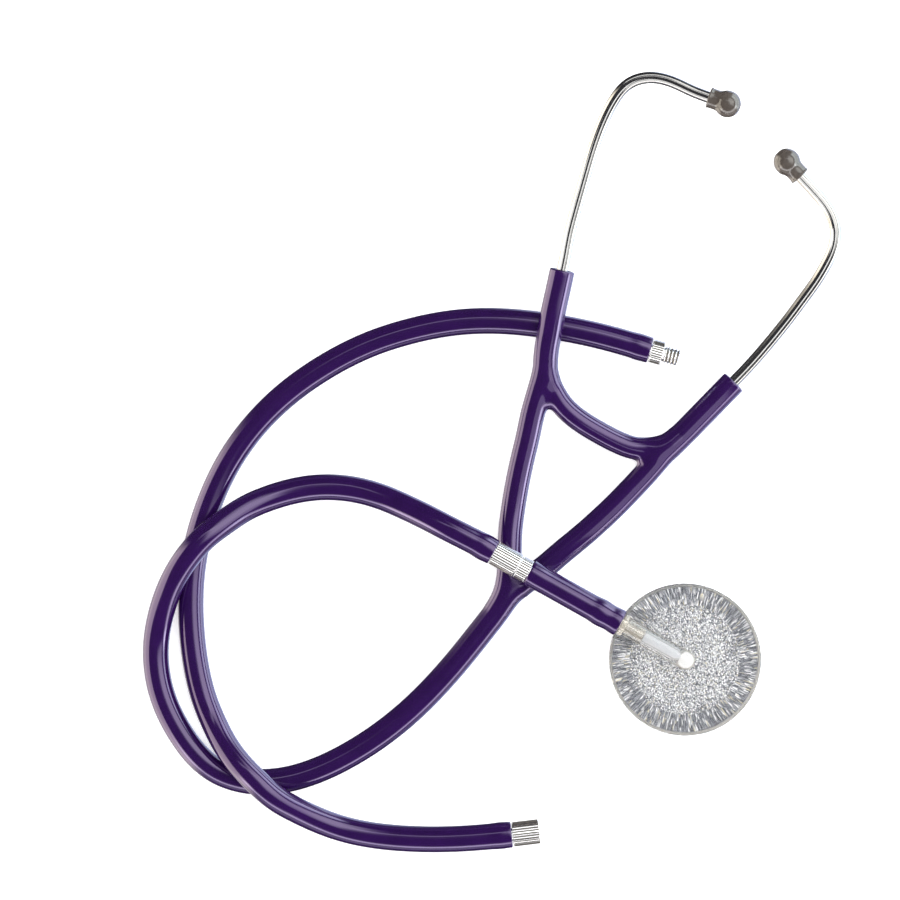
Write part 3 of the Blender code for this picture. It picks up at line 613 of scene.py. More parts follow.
def make_world():
    """An overhead card and cards round the horizon: azimuths, tilts, softness and colour."""
    sky = StudioSky()
    sky.card((-22.0, 78.0), (15.0, 56.0), 0.04, (1.9, 1.9, 1.85))
    sky.disc_card(30.0, 40.0, 8.0, 27.0, (1.1, 1.1, 1.0))
    for azimuths, tilts, soft, colour in (
            ((-28.0, 62.0), (67.0, 118.0), 0.04, (2.6, 3.0, 3.2)),
            ((-28.0, 62.0), (74.0, 86.0), 0.04, (1.6, 1.6, 1.3)),
            ((146.0, 228.0), (64.0, 128.0), 0.07, (3.4, 3.1, 2.6)),
            ((215.0, 348.0), (71.0, 85.0), 0.03, (3.4, 3.3, 3.3)),
            ((215.0, 348.0), (64.0, 112.0), 0.07, (0.8, 0.8, 0.8)),
            ((60.0, 120.0), (25.0, 32.0), 0.02, (1.6, 1.6, 1.6)),
            ((-50.0, 85.0), (120.0, 168.0), 0.05, (1.3, 1.5, 2.0)),
            ((146.0, 235.0), (130.0, 168.0), 0.05, (1.3, 1.2, 1.2))):
        sky.card(azimuths, tilts, soft, colour)
    sky.finish((0.06, 0.06, 0.07))


def make_floor():
    """A pale floor that glows a little, and that the metal doesn't mirror."""
    mesh = bpy.data.meshes.new("floor")
    shape = bmesh.new()
    bmesh.ops.create_grid(shape, x_segments=8, y_segments=8, size=3.0)
    shape.to_mesh(mesh)
    shape.free()
    paper = Surface("floor")
    paper.tint(paper.noise(3.0, 2.0), (0.93, 0.93, 0.935), (0.945, 0.945, 0.95))
    paper.set(Roughness=0.9, Specular_IOR_Level=0.1)
    paper.set(Emission_Color=(1.0, 1.0, 1.0, 1.0), Emission_Strength=0.5)
    mesh.materials.append(paper.material)
    floor = add_object("floor", mesh)
    floor.location.z = FLOOR_Z
    floor.visible_glossy = False


# Softboxes that only some pieces see: name, place aimed at, azimuth, tilt, distance, size, power
# and those pieces
METAL_PIECES = bpy.data.collections.new("metal_pieces")
FITTINGS = bpy.data.collections.new("fittings")
YOKE_PIECES = bpy.data.collections.new("yoke_pieces")
PIECE_LIGHTS = (
    ("metal_left", VIEW_MIDDLE, 178.0, 58.0, 1.2, (0.55, 1.3), 4.3, METAL_PIECES),
    ("metal_front", VIEW_MIDDLE, 268.0, 42.0, 1.2, (1.6, 0.7), 5.6, METAL_PIECES),
    ("metal_top", VIEW_MIDDLE, -27.0, 15.0, 1.2, (0.42, 0.42), 1.2, METAL_PIECES),
    ("metal_back", VIEW_MIDDLE, 90.0, 58.0, 1.2, (1.4, 0.3), 2.4, METAL_PIECES),
    ("fittings_top", VIEW_MIDDLE, 200.0, 4.0, 1.2, (0.95, 0.95), 4.6, FITTINGS),
    ("fittings_back", VIEW_MIDDLE, 100.0, 45.0, 1.2, (0.5, 0.8), 1.0, FITTINGS),
    ("yoke_right", (-0.010, 0.075, 0.005), -45.0, 34.0, 0.15, (0.09, 0.13), 0.042, YOKE_PIECES),
)


def make_studio():
    make_camera()
    make_world()
    make_floor()
    bpy.context.scene.view_settings.view_transform = "Standard"
    overhead = area_light("overhead", (-0.1, 0.1, 1.7), (-0.1, 0.1, 0.0), (1.8, 1.8), 28.0)
    overhead.visible_glossy = False
    for name, aim, azimuth, tilt, distance, size, power, pieces in PIECE_LIGHTS:
        place = Vector(aim) + Vector(towards(azimuth, tilt)) * distance
        light = area_light(name, place, aim, size, power)
        light.visible_camera = False
        light.light_linking.receiver_collection = pieces


# ---------------------------------------------------------------- purple moulding

YOKE_BLEND = 0.0035            # how far the moulding's webs reach between two tubes
VOXEL = 0.00055                # of the rough union that is drawn onto the blended surface
SLEEVE_R = 0.00505
NARROW_ARM_R = 0.00475         # of the arms under the sleeves' shoulders
SHOULDER = 0.0052              # from a hinge down to its sleeve's shoulder
SHOULDER_SOFT = 0.0014         # half of the length over which the shoulder widens
LINE_STEP = 0.0015             # between the points of an arm's centreline
PAST_HINGE = 6                 # that centreline's points past the hinge
HINGE_POINT = -1 - PAST_HINGE
SLEEVE_START = HINGE_POINT - 2   # the arm's point, 3 mm before its hinge, where its sleeve begins
STEM_OVERLAP = 0.004           # how far the stem runs into the main hose before it is cut off
SURFACE_STEPS = 5              # moves of the rough union onto the blended surface
EVENED_STEPS = 3               # the first of them, which also even out the vertices
EVENED_SHARE = 0.6             # how much of a vertex's place comes from its neighbours then
LEAST_SLOPE = 0.3              # of the blended field, inside the webs' creases


def arm_line(points, line):
    """An arm's centreline, carried on along its sleeve past the hinge."""
    arm = spline_points(points, LINE_STEP)
    ahead = np.array(line)
    return np.vstack([arm] + [arm[-1:] + ahead * (LINE_STEP * (i + 1)) for i in range(PAST_HINGE)])


def sleeve_start(points, line):
    """Where the moulding's skin ends and an arm's sleeve begins, and the arm's direction there."""
    arm = arm_line(points, line)
    along = arm[SLEEVE_START + 1] - arm[SLEEVE_START - 1]
    return Vector(arm[SLEEVE_START]), Vector(along).normalized()


def yoke_tubes():
    """Centrelines and radii of the moulding's three tubes, past the joints with their neighbours."""
    left = arm_line(STEM_AND_LEFT_ARM, LEFT_SLEEVE_LINE)
    left = np.vstack([left[:1] + unit(left[0] - left[1]) * STEM_OVERLAP, left])
    right = arm_line(RIGHT_ARM, RIGHT_SLEEVE_LINE)
    tubes = []
    for line, begin in ((left, [(0.0, HOSE_R), (0.012, HOSE_R), (0.030, ARM_R)]),
                        (right, [(0.0, 0.0030), (0.012, ARM_R)])):
        along = distances_along(line)
        hinge = along[HINGE_POINT]
        shoulder = hinge - SHOULDER
        marks = begin + [(shoulder - 0.020, ARM_R), (shoulder - SHOULDER_SOFT, NARROW_ARM_R),
                         (shoulder + SHOULDER_SOFT, SLEEVE_R), (hinge + 0.02, SLEEVE_R)]
        tubes.append((line, np.interp(along, *zip(*marks))))
    bridge = spline_points(BRIDGE, LINE_STEP)
    bridge_radii = np.interp(np.linspace(0.0, 1.0, len(bridge)), (0.0, 0.08, 0.18, 0.86, 0.95, 1.0),
                             (0.0026, 0.0040, BRIDGE_R, BRIDGE_R, 0.0040, 0.0026))
    return tubes + [(bridge, bridge_radii)]


def tube_distance(points, centreline, radii):
    """Distance to a tube of changing radius, and its direction, for many points."""
    best = np.full(len(points), 1e9)
    direction = np.zeros_like(points)
    for start, end, start_r, end_r in zip(centreline[:-1], centreline[1:], radii[:-1], radii[1:]):
        step = end - start
        share = np.clip(((points - start) @ step) / (step @ step), 0.0, 1.0)
        away = points - (start + share[:, None] * step)
        span = np.linalg.norm(away, axis=1)
        value = span - (start_r * (1.0 - share) + end_r * share)
        nearer = value < best
        best[nearer] = value[nearer]
        direction[nearer] = away[nearer] / np.maximum(span[nearer], 1e-9)[:, None]
    return best, direction


def smooth_union(first, second):
    """Polynomial smooth minimum of two (distance, direction) fields."""
    (a, a_way), (b, b_way) = first, second
    overlap = np.clip(1.0 - np.abs(a - b) / YOKE_BLEND, 0.0, None)
    value = np.minimum(a, b) - overlap ** 2 * YOKE_BLEND / 4.0
    a_share = np.where(a < b, 1.0 - overlap / 2.0, overlap / 2.0)[:, None]
    return value, a_way * a_share + b_way * (1.0 - a_share)


def yoke_field(points, tubes):
    left, right, bridge = [tube_distance(points, *tube) for tube in tubes]
    return smooth_union(smooth_union(left, right), bridge)


def coordinates(mesh):
    points = np.empty(len(mesh.vertices) * 3)
    mesh.vertices.foreach_get("co", points)
    return points.reshape(-1, 3)


def neighbour_sum(mesh, values):
    """Each vertex's sum of its edge neighbours' values, and how many neighbours it has."""
    ends = np.empty(len(mesh.edges) * 2, np.int32)
    mesh.edges.foreach_get("vertices", ends)
    ends = ends.reshape(-1, 2)
    both, other = np.concatenate((ends[:, 0], ends[:, 1])), np.concatenate((ends[:, 1], ends[:, 0]))
    totals = [np.bincount(both, values[other, axis], len(values)) for axis in range(3)]
    return np.stack(totals, axis=1), np.bincount(both, minlength=len(values))[:, None]


def evened(mesh, normals):
    """Unit normals averaged with their neighbours', so that highlights run without steps."""
    for _ in range(6):
        normals = unit(normals)
        normals = normals * 1.5 + neighbour_sum(mesh, normals)[0]
    return unit(normals)


def apply_modifiers(piece):
    depsgraph = bpy.context.evaluated_depsgraph_get()
    made = bpy.data.meshes.new_from_object(piece.evaluated_get(depsgraph))
    piece.modifiers.clear()
    old, name = piece.data, piece.data.name
    piece.data = made
    bpy.data.meshes.remove(old)
    made.name = name


def rough_union(tubes):
    """An object that joins the tubes as voxels."""
    rough = bmesh.new()
    for centreline, radii in tubes:
        path = Path(centreline)
        profile = [(0.0, 0.0)] + list(zip(path.along, radii)) + [(path.length, 0.0)]
        part = swept_mesh("rough", path, profile, 24)
        rough.from_mesh(part)
        bpy.data.meshes.remove(part)
    mesh = bpy.data.meshes.new("yoke_skin")
    rough.to_mesh(mesh)
    rough.free()
    piece = add_object("yoke_skin", mesh)
    remesh = piece.modifiers.new("remesh", "REMESH")
    remesh.mode = "VOXEL"
    remesh.voxel_size = VOXEL
    apply_modifiers(piece)
    return piece


def draw_onto_surface(mesh, tubes):
    """Moves the vertices onto the blended surface, evening them out in the first steps."""
    points = coordinates(mesh)
    for step in range(SURFACE_STEPS):
        if step < EVENED_STEPS:
            total, count = neighbour_sum(mesh, points)
            points = points * (1.0 - EVENED_SHARE) + total / count * EVENED_SHARE
        value, way = yoke_field(points, tubes)
        slope = np.maximum(np.linalg.norm(way, axis=1), LEAST_SLOPE)
        points = points - way * (value / slope ** 2)[:, None]
    points[:, 2] = np.maximum(points[:, 2], 0.0)
    mesh.vertices.foreach_set("co", points.ravel())
    mesh.update()


def make_yoke():
    """The moulding: a remeshed union of its tubes, cut flat where its sleeves and hose begin."""
    tubes = yoke_tubes()
    piece = rough_union(tubes)
    mesh = piece.data
    draw_onto_surface(mesh, tubes)
    stem_start, stem_tangent, _, _ = Path(spline_points(STEM_AND_LEFT_ARM, LINE_STEP)).frame(0.0)
    shape = bmesh.new()
    shape.from_mesh(mesh)
    for place, outward in (sleeve_start(STEM_AND_LEFT_ARM, LEFT_SLEEVE_LINE),
                           sleeve_start(RIGHT_ARM, RIGHT_SLEEVE_LINE),
                           (stem_start, -stem_tangent)):
        cut = bmesh.ops.bisect_plane(shape, geom=shape.verts[:] + shape.edges[:] + shape.faces[:],
                                     plane_co=place, plane_no=outward, clear_outer=True, dist=1e-7)
        bmesh.ops.holes_fill(shape, edges=[item for item in cut["geom_cut"]
                                           if isinstance(item, bmesh.types.BMEdge)])
    shape.to_mesh(mesh)
    shape.free()
    smooth(mesh)
    _, way = yoke_field(coordinates(mesh), tubes)
    mesh.normals_split_custom_set_from_vertices([tuple(item) for item in evened(mesh, way)])
    mesh.materials.append(MATERIALS["purple_pvc"])
    stand_for(piece, "tubing", "yoke_tubing")
    YOKE_PIECES.objects.link(piece)


def lay_down(mesh):
    """Flattens what would reach below the surface that the tubing lies on."""
    for vertex in mesh.vertices:
        vertex.co.z = max(vertex.co.z, 0.0)


def make_sleeve(side, arm, hinge, end, line):
    """An ear-tube sleeve, from the moulding's skin up to its end around the ear tube."""
    start, start_line = sleeve_start(arm, line)
    straight_start = end - line * 0.019
    path = Path(spline_points([start, hinge, hinge * 0.5 + straight_start * 0.5, straight_start,
                               end - line * 0.009, end], 0.001))
    top = path.length
    lip, mouth = 0.0008, 0.0004
    bore_r = EAR_TUBE_R + 0.0001
    profile = [(0.0, 0.0)] + level_profile(0.0, top - lip, SLEEVE_R)
    profile += arc((top - lip, SLEEVE_R - lip), lip, 90.0, 0.0, 6)[1:]
    profile += arc((top - mouth, bore_r + mouth), mouth, 0.0, -90.0, 3)
    profile += [(top - 0.004, bore_r), (top - 0.016, bore_r), (top - 0.016, 0.0)]
    mesh = swept_mesh(side + "_sleeve_skin", path, profile, 48)
    lay_down(mesh)
    piece = new_piece(side + "_sleeve_skin", mesh, "purple_pvc", None, side + "_sleeve")
    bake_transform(piece)
    YOKE_PIECES.objects.link(piece)


# ---------------------------------------------------------------- hoses

BARB_SWELL = 0.00045           # how much a barb spreads the hose around it
BARB_MIDDLE = 0.0045           # from a hose's end to the middle of that swelling
BARB_REACH = 0.0090            # the swelling's length
HOSE_END_BORE_R = BARB_R - 0.0002
HOSE_END_DEPTH = 0.004
HOSE_STEP = 0.0012
EDGE_INSET = 0.0005            # from a hose's cut face to where its even skin begins


def cut_end(face, inward, outer_r, depth):
    """Profile of a cut hose end: from its small round edge over the wall's face into a bore."""
    edge = 0.0004
    profile = [(face - inward * (edge - edge * math.sin(a)), outer_r - edge + edge * math.cos(a))
               for a in (0.52, 1.05, 1.57)]
    return profile + [(face, HOSE_END_BORE_R + 0.0002), (face - inward * 0.0002, HOSE_END_BORE_R),
                      (face - inward * depth, HOSE_END_BORE_R), (face - inward * depth, 0.0)]


def hose_profile(start, end, radius_at, start_depth, end_depth, step=HOSE_STEP):
    """Profile of a hose with bored ends; a start depth of 0 closes the start, which meets another
    piece."""
    if start_depth:
        profile = cut_end(start, -1.0, radius_at(start), start_depth)[::-1]
        begin = start + EDGE_INSET
    else:
        profile = [(start, 0.0)]
        begin = start
    profile += even_profile(begin, end - EDGE_INSET, radius_at, step)
    return profile + cut_end(end, 1.0, radius_at(end), end_depth)


def make_hose(name, node, points, swell, start_depth):
    """A long hose with a fitting in its end, and in its start where that has a depth."""
    path = Path(spline_points(points, HOSE_STEP))
    length = path.length

    def radius_at(distance):
        near = min(distance, length - distance) if start_depth else length - distance
        return HOSE_R + BARB_SWELL * swell * bump_at(near, BARB_MIDDLE, BARB_REACH)

    mesh = swept_mesh(name, path, hose_profile(0.0, length, radius_at, start_depth, HOSE_END_DEPTH), 40)
    lay_down(mesh)
    return new_piece(name, mesh, "purple_pvc", "tubing", node), path


def route_of(path):
    """Every fourth point of a path, and its last."""
    return [tuple(point) for point in path.points[::4]] + [tuple(path.points[-1])]


def make_main_hose():
    """The long hose, from the moulding's stem to the coupling's female sleeve."""
    joint = STEM_AND_LEFT_ARM[0]
    piece, path = make_hose("main_hose", "main_tube", [joint] + MAIN_HOSE[1:], 0.6, 0.0)
    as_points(route_of(path))


def make_extension_hose():
    """The separate extension hose, between its male and female fittings, and its path."""
    return make_hose("extension_hose", "extension_tube", EXTENSION_HOSE, 0.4, HOSE_END_DEPTH)


def declare_extension_cord(piece, path, socket):
    """Works out the extension hose's first point and its route, and keeps neither."""
    tuple(path.points[0])
    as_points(route_of(path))


def make_chest_tube():
    """The short tube between coupling and chestpiece, swollen over the stem's two barbs."""
    start, end = CHEST_TUBE

    def radius_at(distance):
        swell = 0.55 * bump_at(distance, start + 0.0015, 0.0080)
        swell += 0.75 * bump_at(distance, start + 0.0090, 0.0095)
        swell += 0.25 * bump_at(distance, end - 0.004, BARB_REACH)
        return HOSE_R + BARB_SWELL * swell

    profile = hose_profile(start, end, radius_at, 0.010, 0.006, 0.0008)
    mesh = swept_mesh("chest_tube_skin", CHEST_PATH, profile, 64)
    new_piece("chest_tube_skin", mesh, "purple_pvc", "chest_half", "chest_tube")


# ---------------------------------------------------------------- ear tubes and tips

TIP_BALL_R = 0.0054
TIP_BALL_Z = 0.0079            # from the tip's lower rim to its ball's middle
TIP_COLLAR_R = 0.00405
TIP_HOLE_R = 0.0013
TIP_SOCKET_R = 0.0031
TIP_SOCKET_DEPTH = 0.0094
TUBE_IN_TIP = 0.0020
TUBE_IN_SLEEVE = 0.018


def make_ear_tube(side, points, end, line):
    """A bent steel tube, open at both ends; returns the place of its upper end."""
    straight = [end + line * reach for reach in (-TUBE_IN_SLEEVE, -TUBE_IN_SLEEVE / 2, 0.0, 0.004)]
    path = Path(spline_points(straight + [Vector(point) for point in points], 0.0012))
    top = path.length
    edge = 0.0002
    profile = [(0.0, EAR_BORE_R), (0.0, EAR_TUBE_R - edge), (edge, EAR_TUBE_R)]
    profile += level_profile(2 * edge, top - 2 * edge, EAR_TUBE_R)
    profile += [(top - edge, EAR_TUBE_R), (top, EAR_TUBE_R - edge), (top, EAR_BORE_R),
                (top - 0.003, EAR_BORE_R)]
    profile += level_profile(top - 0.006, 0.003, EAR_BORE_R, 0.004)
    mesh = swept_mesh(side + "_ear_tube_skin", path, profile, 40, closed=True)
    piece = new_piece(side + "_ear_tube_skin", mesh, "polished_steel", side + "_ear",
                      side + "_ear_tube")
    METAL_PIECES.objects.link(piece)
    return Vector(path.points[-1])


def make_ear_tip(side, tube_end, line):
    """A soft tip: straight collar with a rim, full round head and a sound hole."""
    inner_edge, outer_edge, rim = 0.0004, 0.0005, 0.0002
    profile = [(TIP_SOCKET_DEPTH, TIP_HOLE_R), (TIP_SOCKET_DEPTH, TIP_SOCKET_R), (inner_edge, TIP_SOCKET_R)]
    profile += arc((inner_edge, TIP_SOCKET_R + inner_edge), inner_edge, 270.0, 180.0, 3)
    profile += arc((outer_edge, TIP_COLLAR_R + rim - outer_edge), outer_edge, 180.0, 70.0, 5)
    profile += [(0.0009, TIP_COLLAR_R), (0.0022, TIP_COLLAR_R), (0.0036, TIP_COLLAR_R)]
    join = 180.0 - math.degrees(math.asin((TIP_COLLAR_R + 0.00025) / TIP_BALL_R))
    hole = math.degrees(math.asin((TIP_HOLE_R + 0.0003) / TIP_BALL_R))
    profile += arc((TIP_BALL_Z, 0.0), TIP_BALL_R, join, hole, 28)
    profile += [(TIP_BALL_Z + TIP_BALL_R * math.cos(math.radians(hole)) - 0.0003, TIP_HOLE_R)]
    path = straight_path(tube_end - line * TUBE_IN_TIP, line)
    mesh = swept_mesh(side + "_ear_tip_skin", path, profile, 56, closed=True, sharp=50.0)
    new_piece(side + "_ear_tip_skin", mesh, "grey_silicone", side + "_tip",
              side + "_ear_tip")


# ---------------------------------------------------------------- screw fittings

KNURLS = 30
KNURL_DEPTH = 0.00045


def knurl(angles, share):
    """Straight flat-topped ridges with flat roots; share fades them out."""
    turn = (angles * KNURLS / (2.0 * math.pi) + 1.0 / 12.0) % 1.0
    wave = np.clip(np.abs(turn - 0.5) * 6.0 - 0.5, 0.0, 1.0)
    return -KNURL_DEPTH * (1.0 - wave) * share


# The band of a knurl's roots that gets the painted groove shade: start, end and two radii
def knurled_band(start, end, outer_r):
    return start, end, outer_r - KNURL_DEPTH * 1.2, outer_r - KNURL_DEPTH * 0.4


def turned_mesh(name, path, profile, ripple, shaded_bands):
    """A nickel fitting, whose faces in each (start, end, lowest, highest) band get the painted groove
    shade: distances along the path and radii."""
    mesh = swept_mesh(name, path, profile, KNURLS * 6, ripple, closed=True, sharp=30.0)
    mesh.materials.append(MATERIALS["bright_nickel"])
    # the second material is painted shade for the knurl and thread roots
    mesh.materials.append(MATERIALS["dark_groove"])
    origin, line, _, _ = path.frame(0.0)
    for polygon in mesh.polygons:
        offset = np.array(polygon.center) - origin
        distance = offset @ line
        radius = np.linalg.norm(offset - line * distance)
        for start, end, lowest, highest in shaded_bands:
            if start < distance < end and lowest < radius < highest:
                polygon.material_index = 1
    return mesh


def barb_profile(start, end):
    """Two sharp rings inside a hose end, from start outward to end."""
    third = (end - start) / 3.0
    small = BARB_R - 0.0004
    return [(start, small), (start + third, small), (start + third, BARB_R),
            (start + 2 * third, small + 0.0001), (start + 2 * third, BARB_R), (end, BARB_R - 0.0007)]


def make_socket(name, face, line):
    """A female sleeve: knurled outside, chamfered mouth, bored and barbed."""
    length, bore_end, chamfer = FEMALE_LENGTH, FEMALE_BORE_DEPTH, 0.0001
    barb_end = length + BARB_LENGTH
    ridge_start = chamfer + 0.0006

    def ripple(angles, distance, radius):
        if radius < FEMALE_R - 0.0001 or not chamfer < distance < length:
            return np.full(len(angles), radius)
        fade = min(1.0, (distance - chamfer) / 0.0001, (length - distance) / 0.0003)
        return radius + knurl(angles, max(0.0, fade))

    marks = [chamfer + 0.0001, chamfer + 0.0003, ridge_start]
    marks += [ridge_start + (length - 0.0012 - chamfer) * i / 6 for i in range(1, 7)]
    marks += [length - 0.0003, length - 0.0001]
    profile = [(0.0003, FEMALE_BORE_R), (0.0, FEMALE_BORE_R + 0.0003), (0.0, FEMALE_R - chamfer),
               (chamfer, FEMALE_R - 0.00005)]
    profile += [(mark, FEMALE_R) for mark in marks]
    profile += [(length, FEMALE_R - 0.0003), (length, BARB_R - 0.0004)]
    profile += barb_profile(length + 0.0001, barb_end)
    profile += [(barb_end, FITTING_BORE_R), (bore_end, FITTING_BORE_R), (bore_end, FEMALE_BORE_R)]
    for i in range(int((bore_end - 0.001) / (THREAD_PITCH / 2.0)), 0, -1):
        groove = 0.00018 if i % 2 else 0.0
        profile.append((0.0005 + i * THREAD_PITCH / 2.0, FEMALE_BORE_R + groove))
    path = straight_path(face, line)
    return turned_mesh(name, path, profile, ripple, [knurled_band(chamfer, length, FEMALE_R)])


def make_plug(name, face, line):
    """A male plug: knurled collar, cut thread with a true helix, and a barb behind."""
    chamfer, relief, back = 0.00015, 0.0007, -COLLAR_LENGTH
    root = STUB_R - THREAD_DEPTH
    last_ridge = STUB_LENGTH - 0.0002

    def ripple(angles, distance, radius):
        if distance > relief and radius > FITTING_BORE_R + 0.0003:
            turn = (distance / THREAD_PITCH - angles / (2.0 * math.pi)) % 1.0
            ridge = np.clip(1.5 - np.abs(turn - 0.5) * 4.0, 0.0, 1.0)
            fade = min(1.0, (distance - relief) / 0.0007, (STUB_LENGTH - distance) / 0.0006 + 0.25)
            return radius - THREAD_DEPTH * ((1.0 - ridge) * max(0.0, fade) + 0.6 * (1.0 - fade))
        if radius > COLLAR_R - 0.0001 and back < distance < 0.0:
            fade = min(1.0, (-distance - 0.0001) / 0.0002, (distance - back - 0.0001) / 0.0003)
            return radius + knurl(angles, max(0.0, fade))
        return np.full(len(angles), radius)

    profile = [(STUB_LENGTH, FITTING_BORE_R + 0.0002), (STUB_LENGTH, root - 0.0002)]
    steps = round((STUB_LENGTH - relief) / (THREAD_PITCH / 10.0))
    profile += [(last_ridge - (last_ridge - relief) * i / steps, STUB_R) for i in range(steps)]
    profile += [(relief, root), (0.0, root), (0.0, COLLAR_R - chamfer),
                (-chamfer * 0.6, COLLAR_R - 0.00005), (-chamfer, COLLAR_R), (-chamfer - 0.0003, COLLAR_R)]
    profile += [(back * share, COLLAR_R) for share in (0.3, 0.45, 0.6, 0.75)]
    profile += [(back + chamfer + 0.0003, COLLAR_R), (back + chamfer * 0.6, COLLAR_R),
                (back + 0.0001, COLLAR_R - 0.0001), (back, COLLAR_R - chamfer), (back, BARB_R - 0.0004)]
    profile += [(back - mark, radius) for mark, radius in barb_profile(0.0001, BARB_LENGTH)]
    profile += [(back - BARB_LENGTH, FITTING_BORE_R), (last_ridge, FITTING_BORE_R)]
    # the band of the thread's roots, which gets the painted groove shade
    thread = (relief, STUB_LENGTH - 0.0003, root - THREAD_DEPTH * 0.7, root + THREAD_DEPTH * 0.45)
    path = straight_path(face, line)
    return turned_mesh(name, path, profile, ripple, [knurled_band(back, 0.0, COLLAR_R), thread])


def make_fittings():
    """The halves of both screw couplings, by CAD node."""
    chest = Vector((0.0, 0.0, CHEST_LINE_Z))
    pieces = {}
    for node, body, make, face, line in (
            ("coupling_sleeve", "tubing", make_socket, chest + CHEST_LINE * (PLUG_FACE + GAP), CHEST_LINE),
            ("coupling_plug", "chest_half", make_plug, chest + CHEST_LINE * PLUG_FACE, CHEST_LINE),
            ("extension_plug", "tubing", make_plug, EXTENSION_PLUG_FACE, EXTENSION_PLUG_LINE),
            ("extension_sleeve", "tubing", make_socket, EXTENSION_SLEEVE_FACE, EXTENSION_SLEEVE_LINE)):
        name = node + "_fine"
        pieces[node] = new_piece(name, make(name, face, line), None, body, node)
        METAL_PIECES.objects.link(pieces[node])
        FITTINGS.objects.link(pieces[node])
    return pieces


# ---------------------------------------------------------------- glitter film

FOIL_EDGE_R = 0.0290
FOIL_TOP_Z = 0.0033
FOIL_BOTTOM_Z = 0.0029
FOIL_RELIEF = 0.00019          # how deep the flakes' corners lie at most
FOIL_HOLE_R = 0.0027
HOLE_SIDES = 32
SPECKLE_R = 0.0221             # inside it the flakes are fine specks, outside radial streaks
SPECKLE = 0.00040
STREAKS = 400
STREAK_LENGTHS = (0.0021, 0.0024, 0.0024)
ON_RING = 1e-6                 # how near to a ring's radius a vertex on it is
DARKER_FROM = 0.0180           # radius where the flakes begin to get darker outward
DARKER_OVER = 0.0065           # and over what distance they all have


def circle(radius, count):
    return [(radius * math.cos(a), radius * math.sin(a)) for a in np.arange(count) * 2.0 * math.pi / count]


def loop_edges(start, count):
    return [(start + i, start + (i + 1) % count) for i in range(count)]


def ring_faces(outer, inner):
    """The four-sided faces between two rings of as many vertices."""
    return [(outer[i], inner[i], inner[(i + 1) % len(outer)], outer[(i + 1) % len(outer)])
            for i in range(len(outer))]


def filled(points, edges):
    """Vertices and triangles between the points' loops, apart from the sound hole."""
    verts, _, faces, _, _, _ = delaunay_2d_cdt(points, edges, [], 0, 1e-7)
    kept = []
    for face in faces:
        centre = sum((verts[i] for i in face), Vector((0.0, 0.0))) / len(face)
        if centre.length > FOIL_HOLE_R:
            kept.append(tuple(face))
    return verts, kept


def rounded(place):
    return round(place.x, 7), round(place.y, 7)


def speckle_points(rng):
    """A jittered grid between the sound hole and the streaks."""
    cells = int(SPECKLE_R / SPECKLE)
    margin = SPECKLE * 0.6
    grid = []
    for i in range(-cells, cells + 1):
        for j in range(-cells, cells + 1):
            x, y = [(k + rng.uniform(-0.42, 0.42)) * SPECKLE for k in (i, j)]
            if FOIL_HOLE_R + margin < math.hypot(x, y) < SPECKLE_R - margin:
                grid.append((x, y))
    return grid


def streak_rings(rng, verts, faces, previous):
    """Long triangles outward from the ring previous in jittered bands; returns the last ring."""
    radius = SPECKLE_R
    for band, width in enumerate(STREAK_LENGTHS):
        radius += width
        last = band == len(STREAK_LENGTHS) - 1
        ring = []
        for i in range(STREAKS):
            place = FOIL_EDGE_R if last else radius + rng.uniform(-0.45, 0.45) * width
            angle = (i + rng.uniform(-0.3, 0.3)) * 2.0 * math.pi / STREAKS
            ring.append(len(verts))
            verts.append((place * math.cos(angle), place * math.sin(angle),
                          FOIL_TOP_Z - rng.uniform(0.0, FOIL_RELIEF)))
        for i, j in loop_edges(0, STREAKS):
            faces += [(previous[i], ring[i], ring[j]), (previous[i], ring[j], previous[j])]
        previous = ring
    return previous


def flake_colour(rng, radius):
    """White, silver, slate blue and near black, with a touch of straw yellow; darker outside."""
    kind = rng.random()
    outside = rng.random() < (radius - DARKER_FROM) / DARKER_OVER
    if kind < (0.15 if outside else 0.34):
        value = rng.uniform(0.58, 0.84) if outside else rng.uniform(0.85, 1.0)
        return (value, value, value)
    if kind < (0.56 if outside else 0.62):
        value = rng.uniform(0.14, 0.29) if outside else rng.uniform(0.20, 0.40)
        return (value * 0.95, value * 0.98, value * 1.08)
    if kind < 0.96:
        value = rng.uniform(0.02, 0.09)
        return (value * 0.9, value, value * 1.35)
    value = rng.uniform(0.45, 0.70)
    return (value, value * 0.90, value * 0.62)


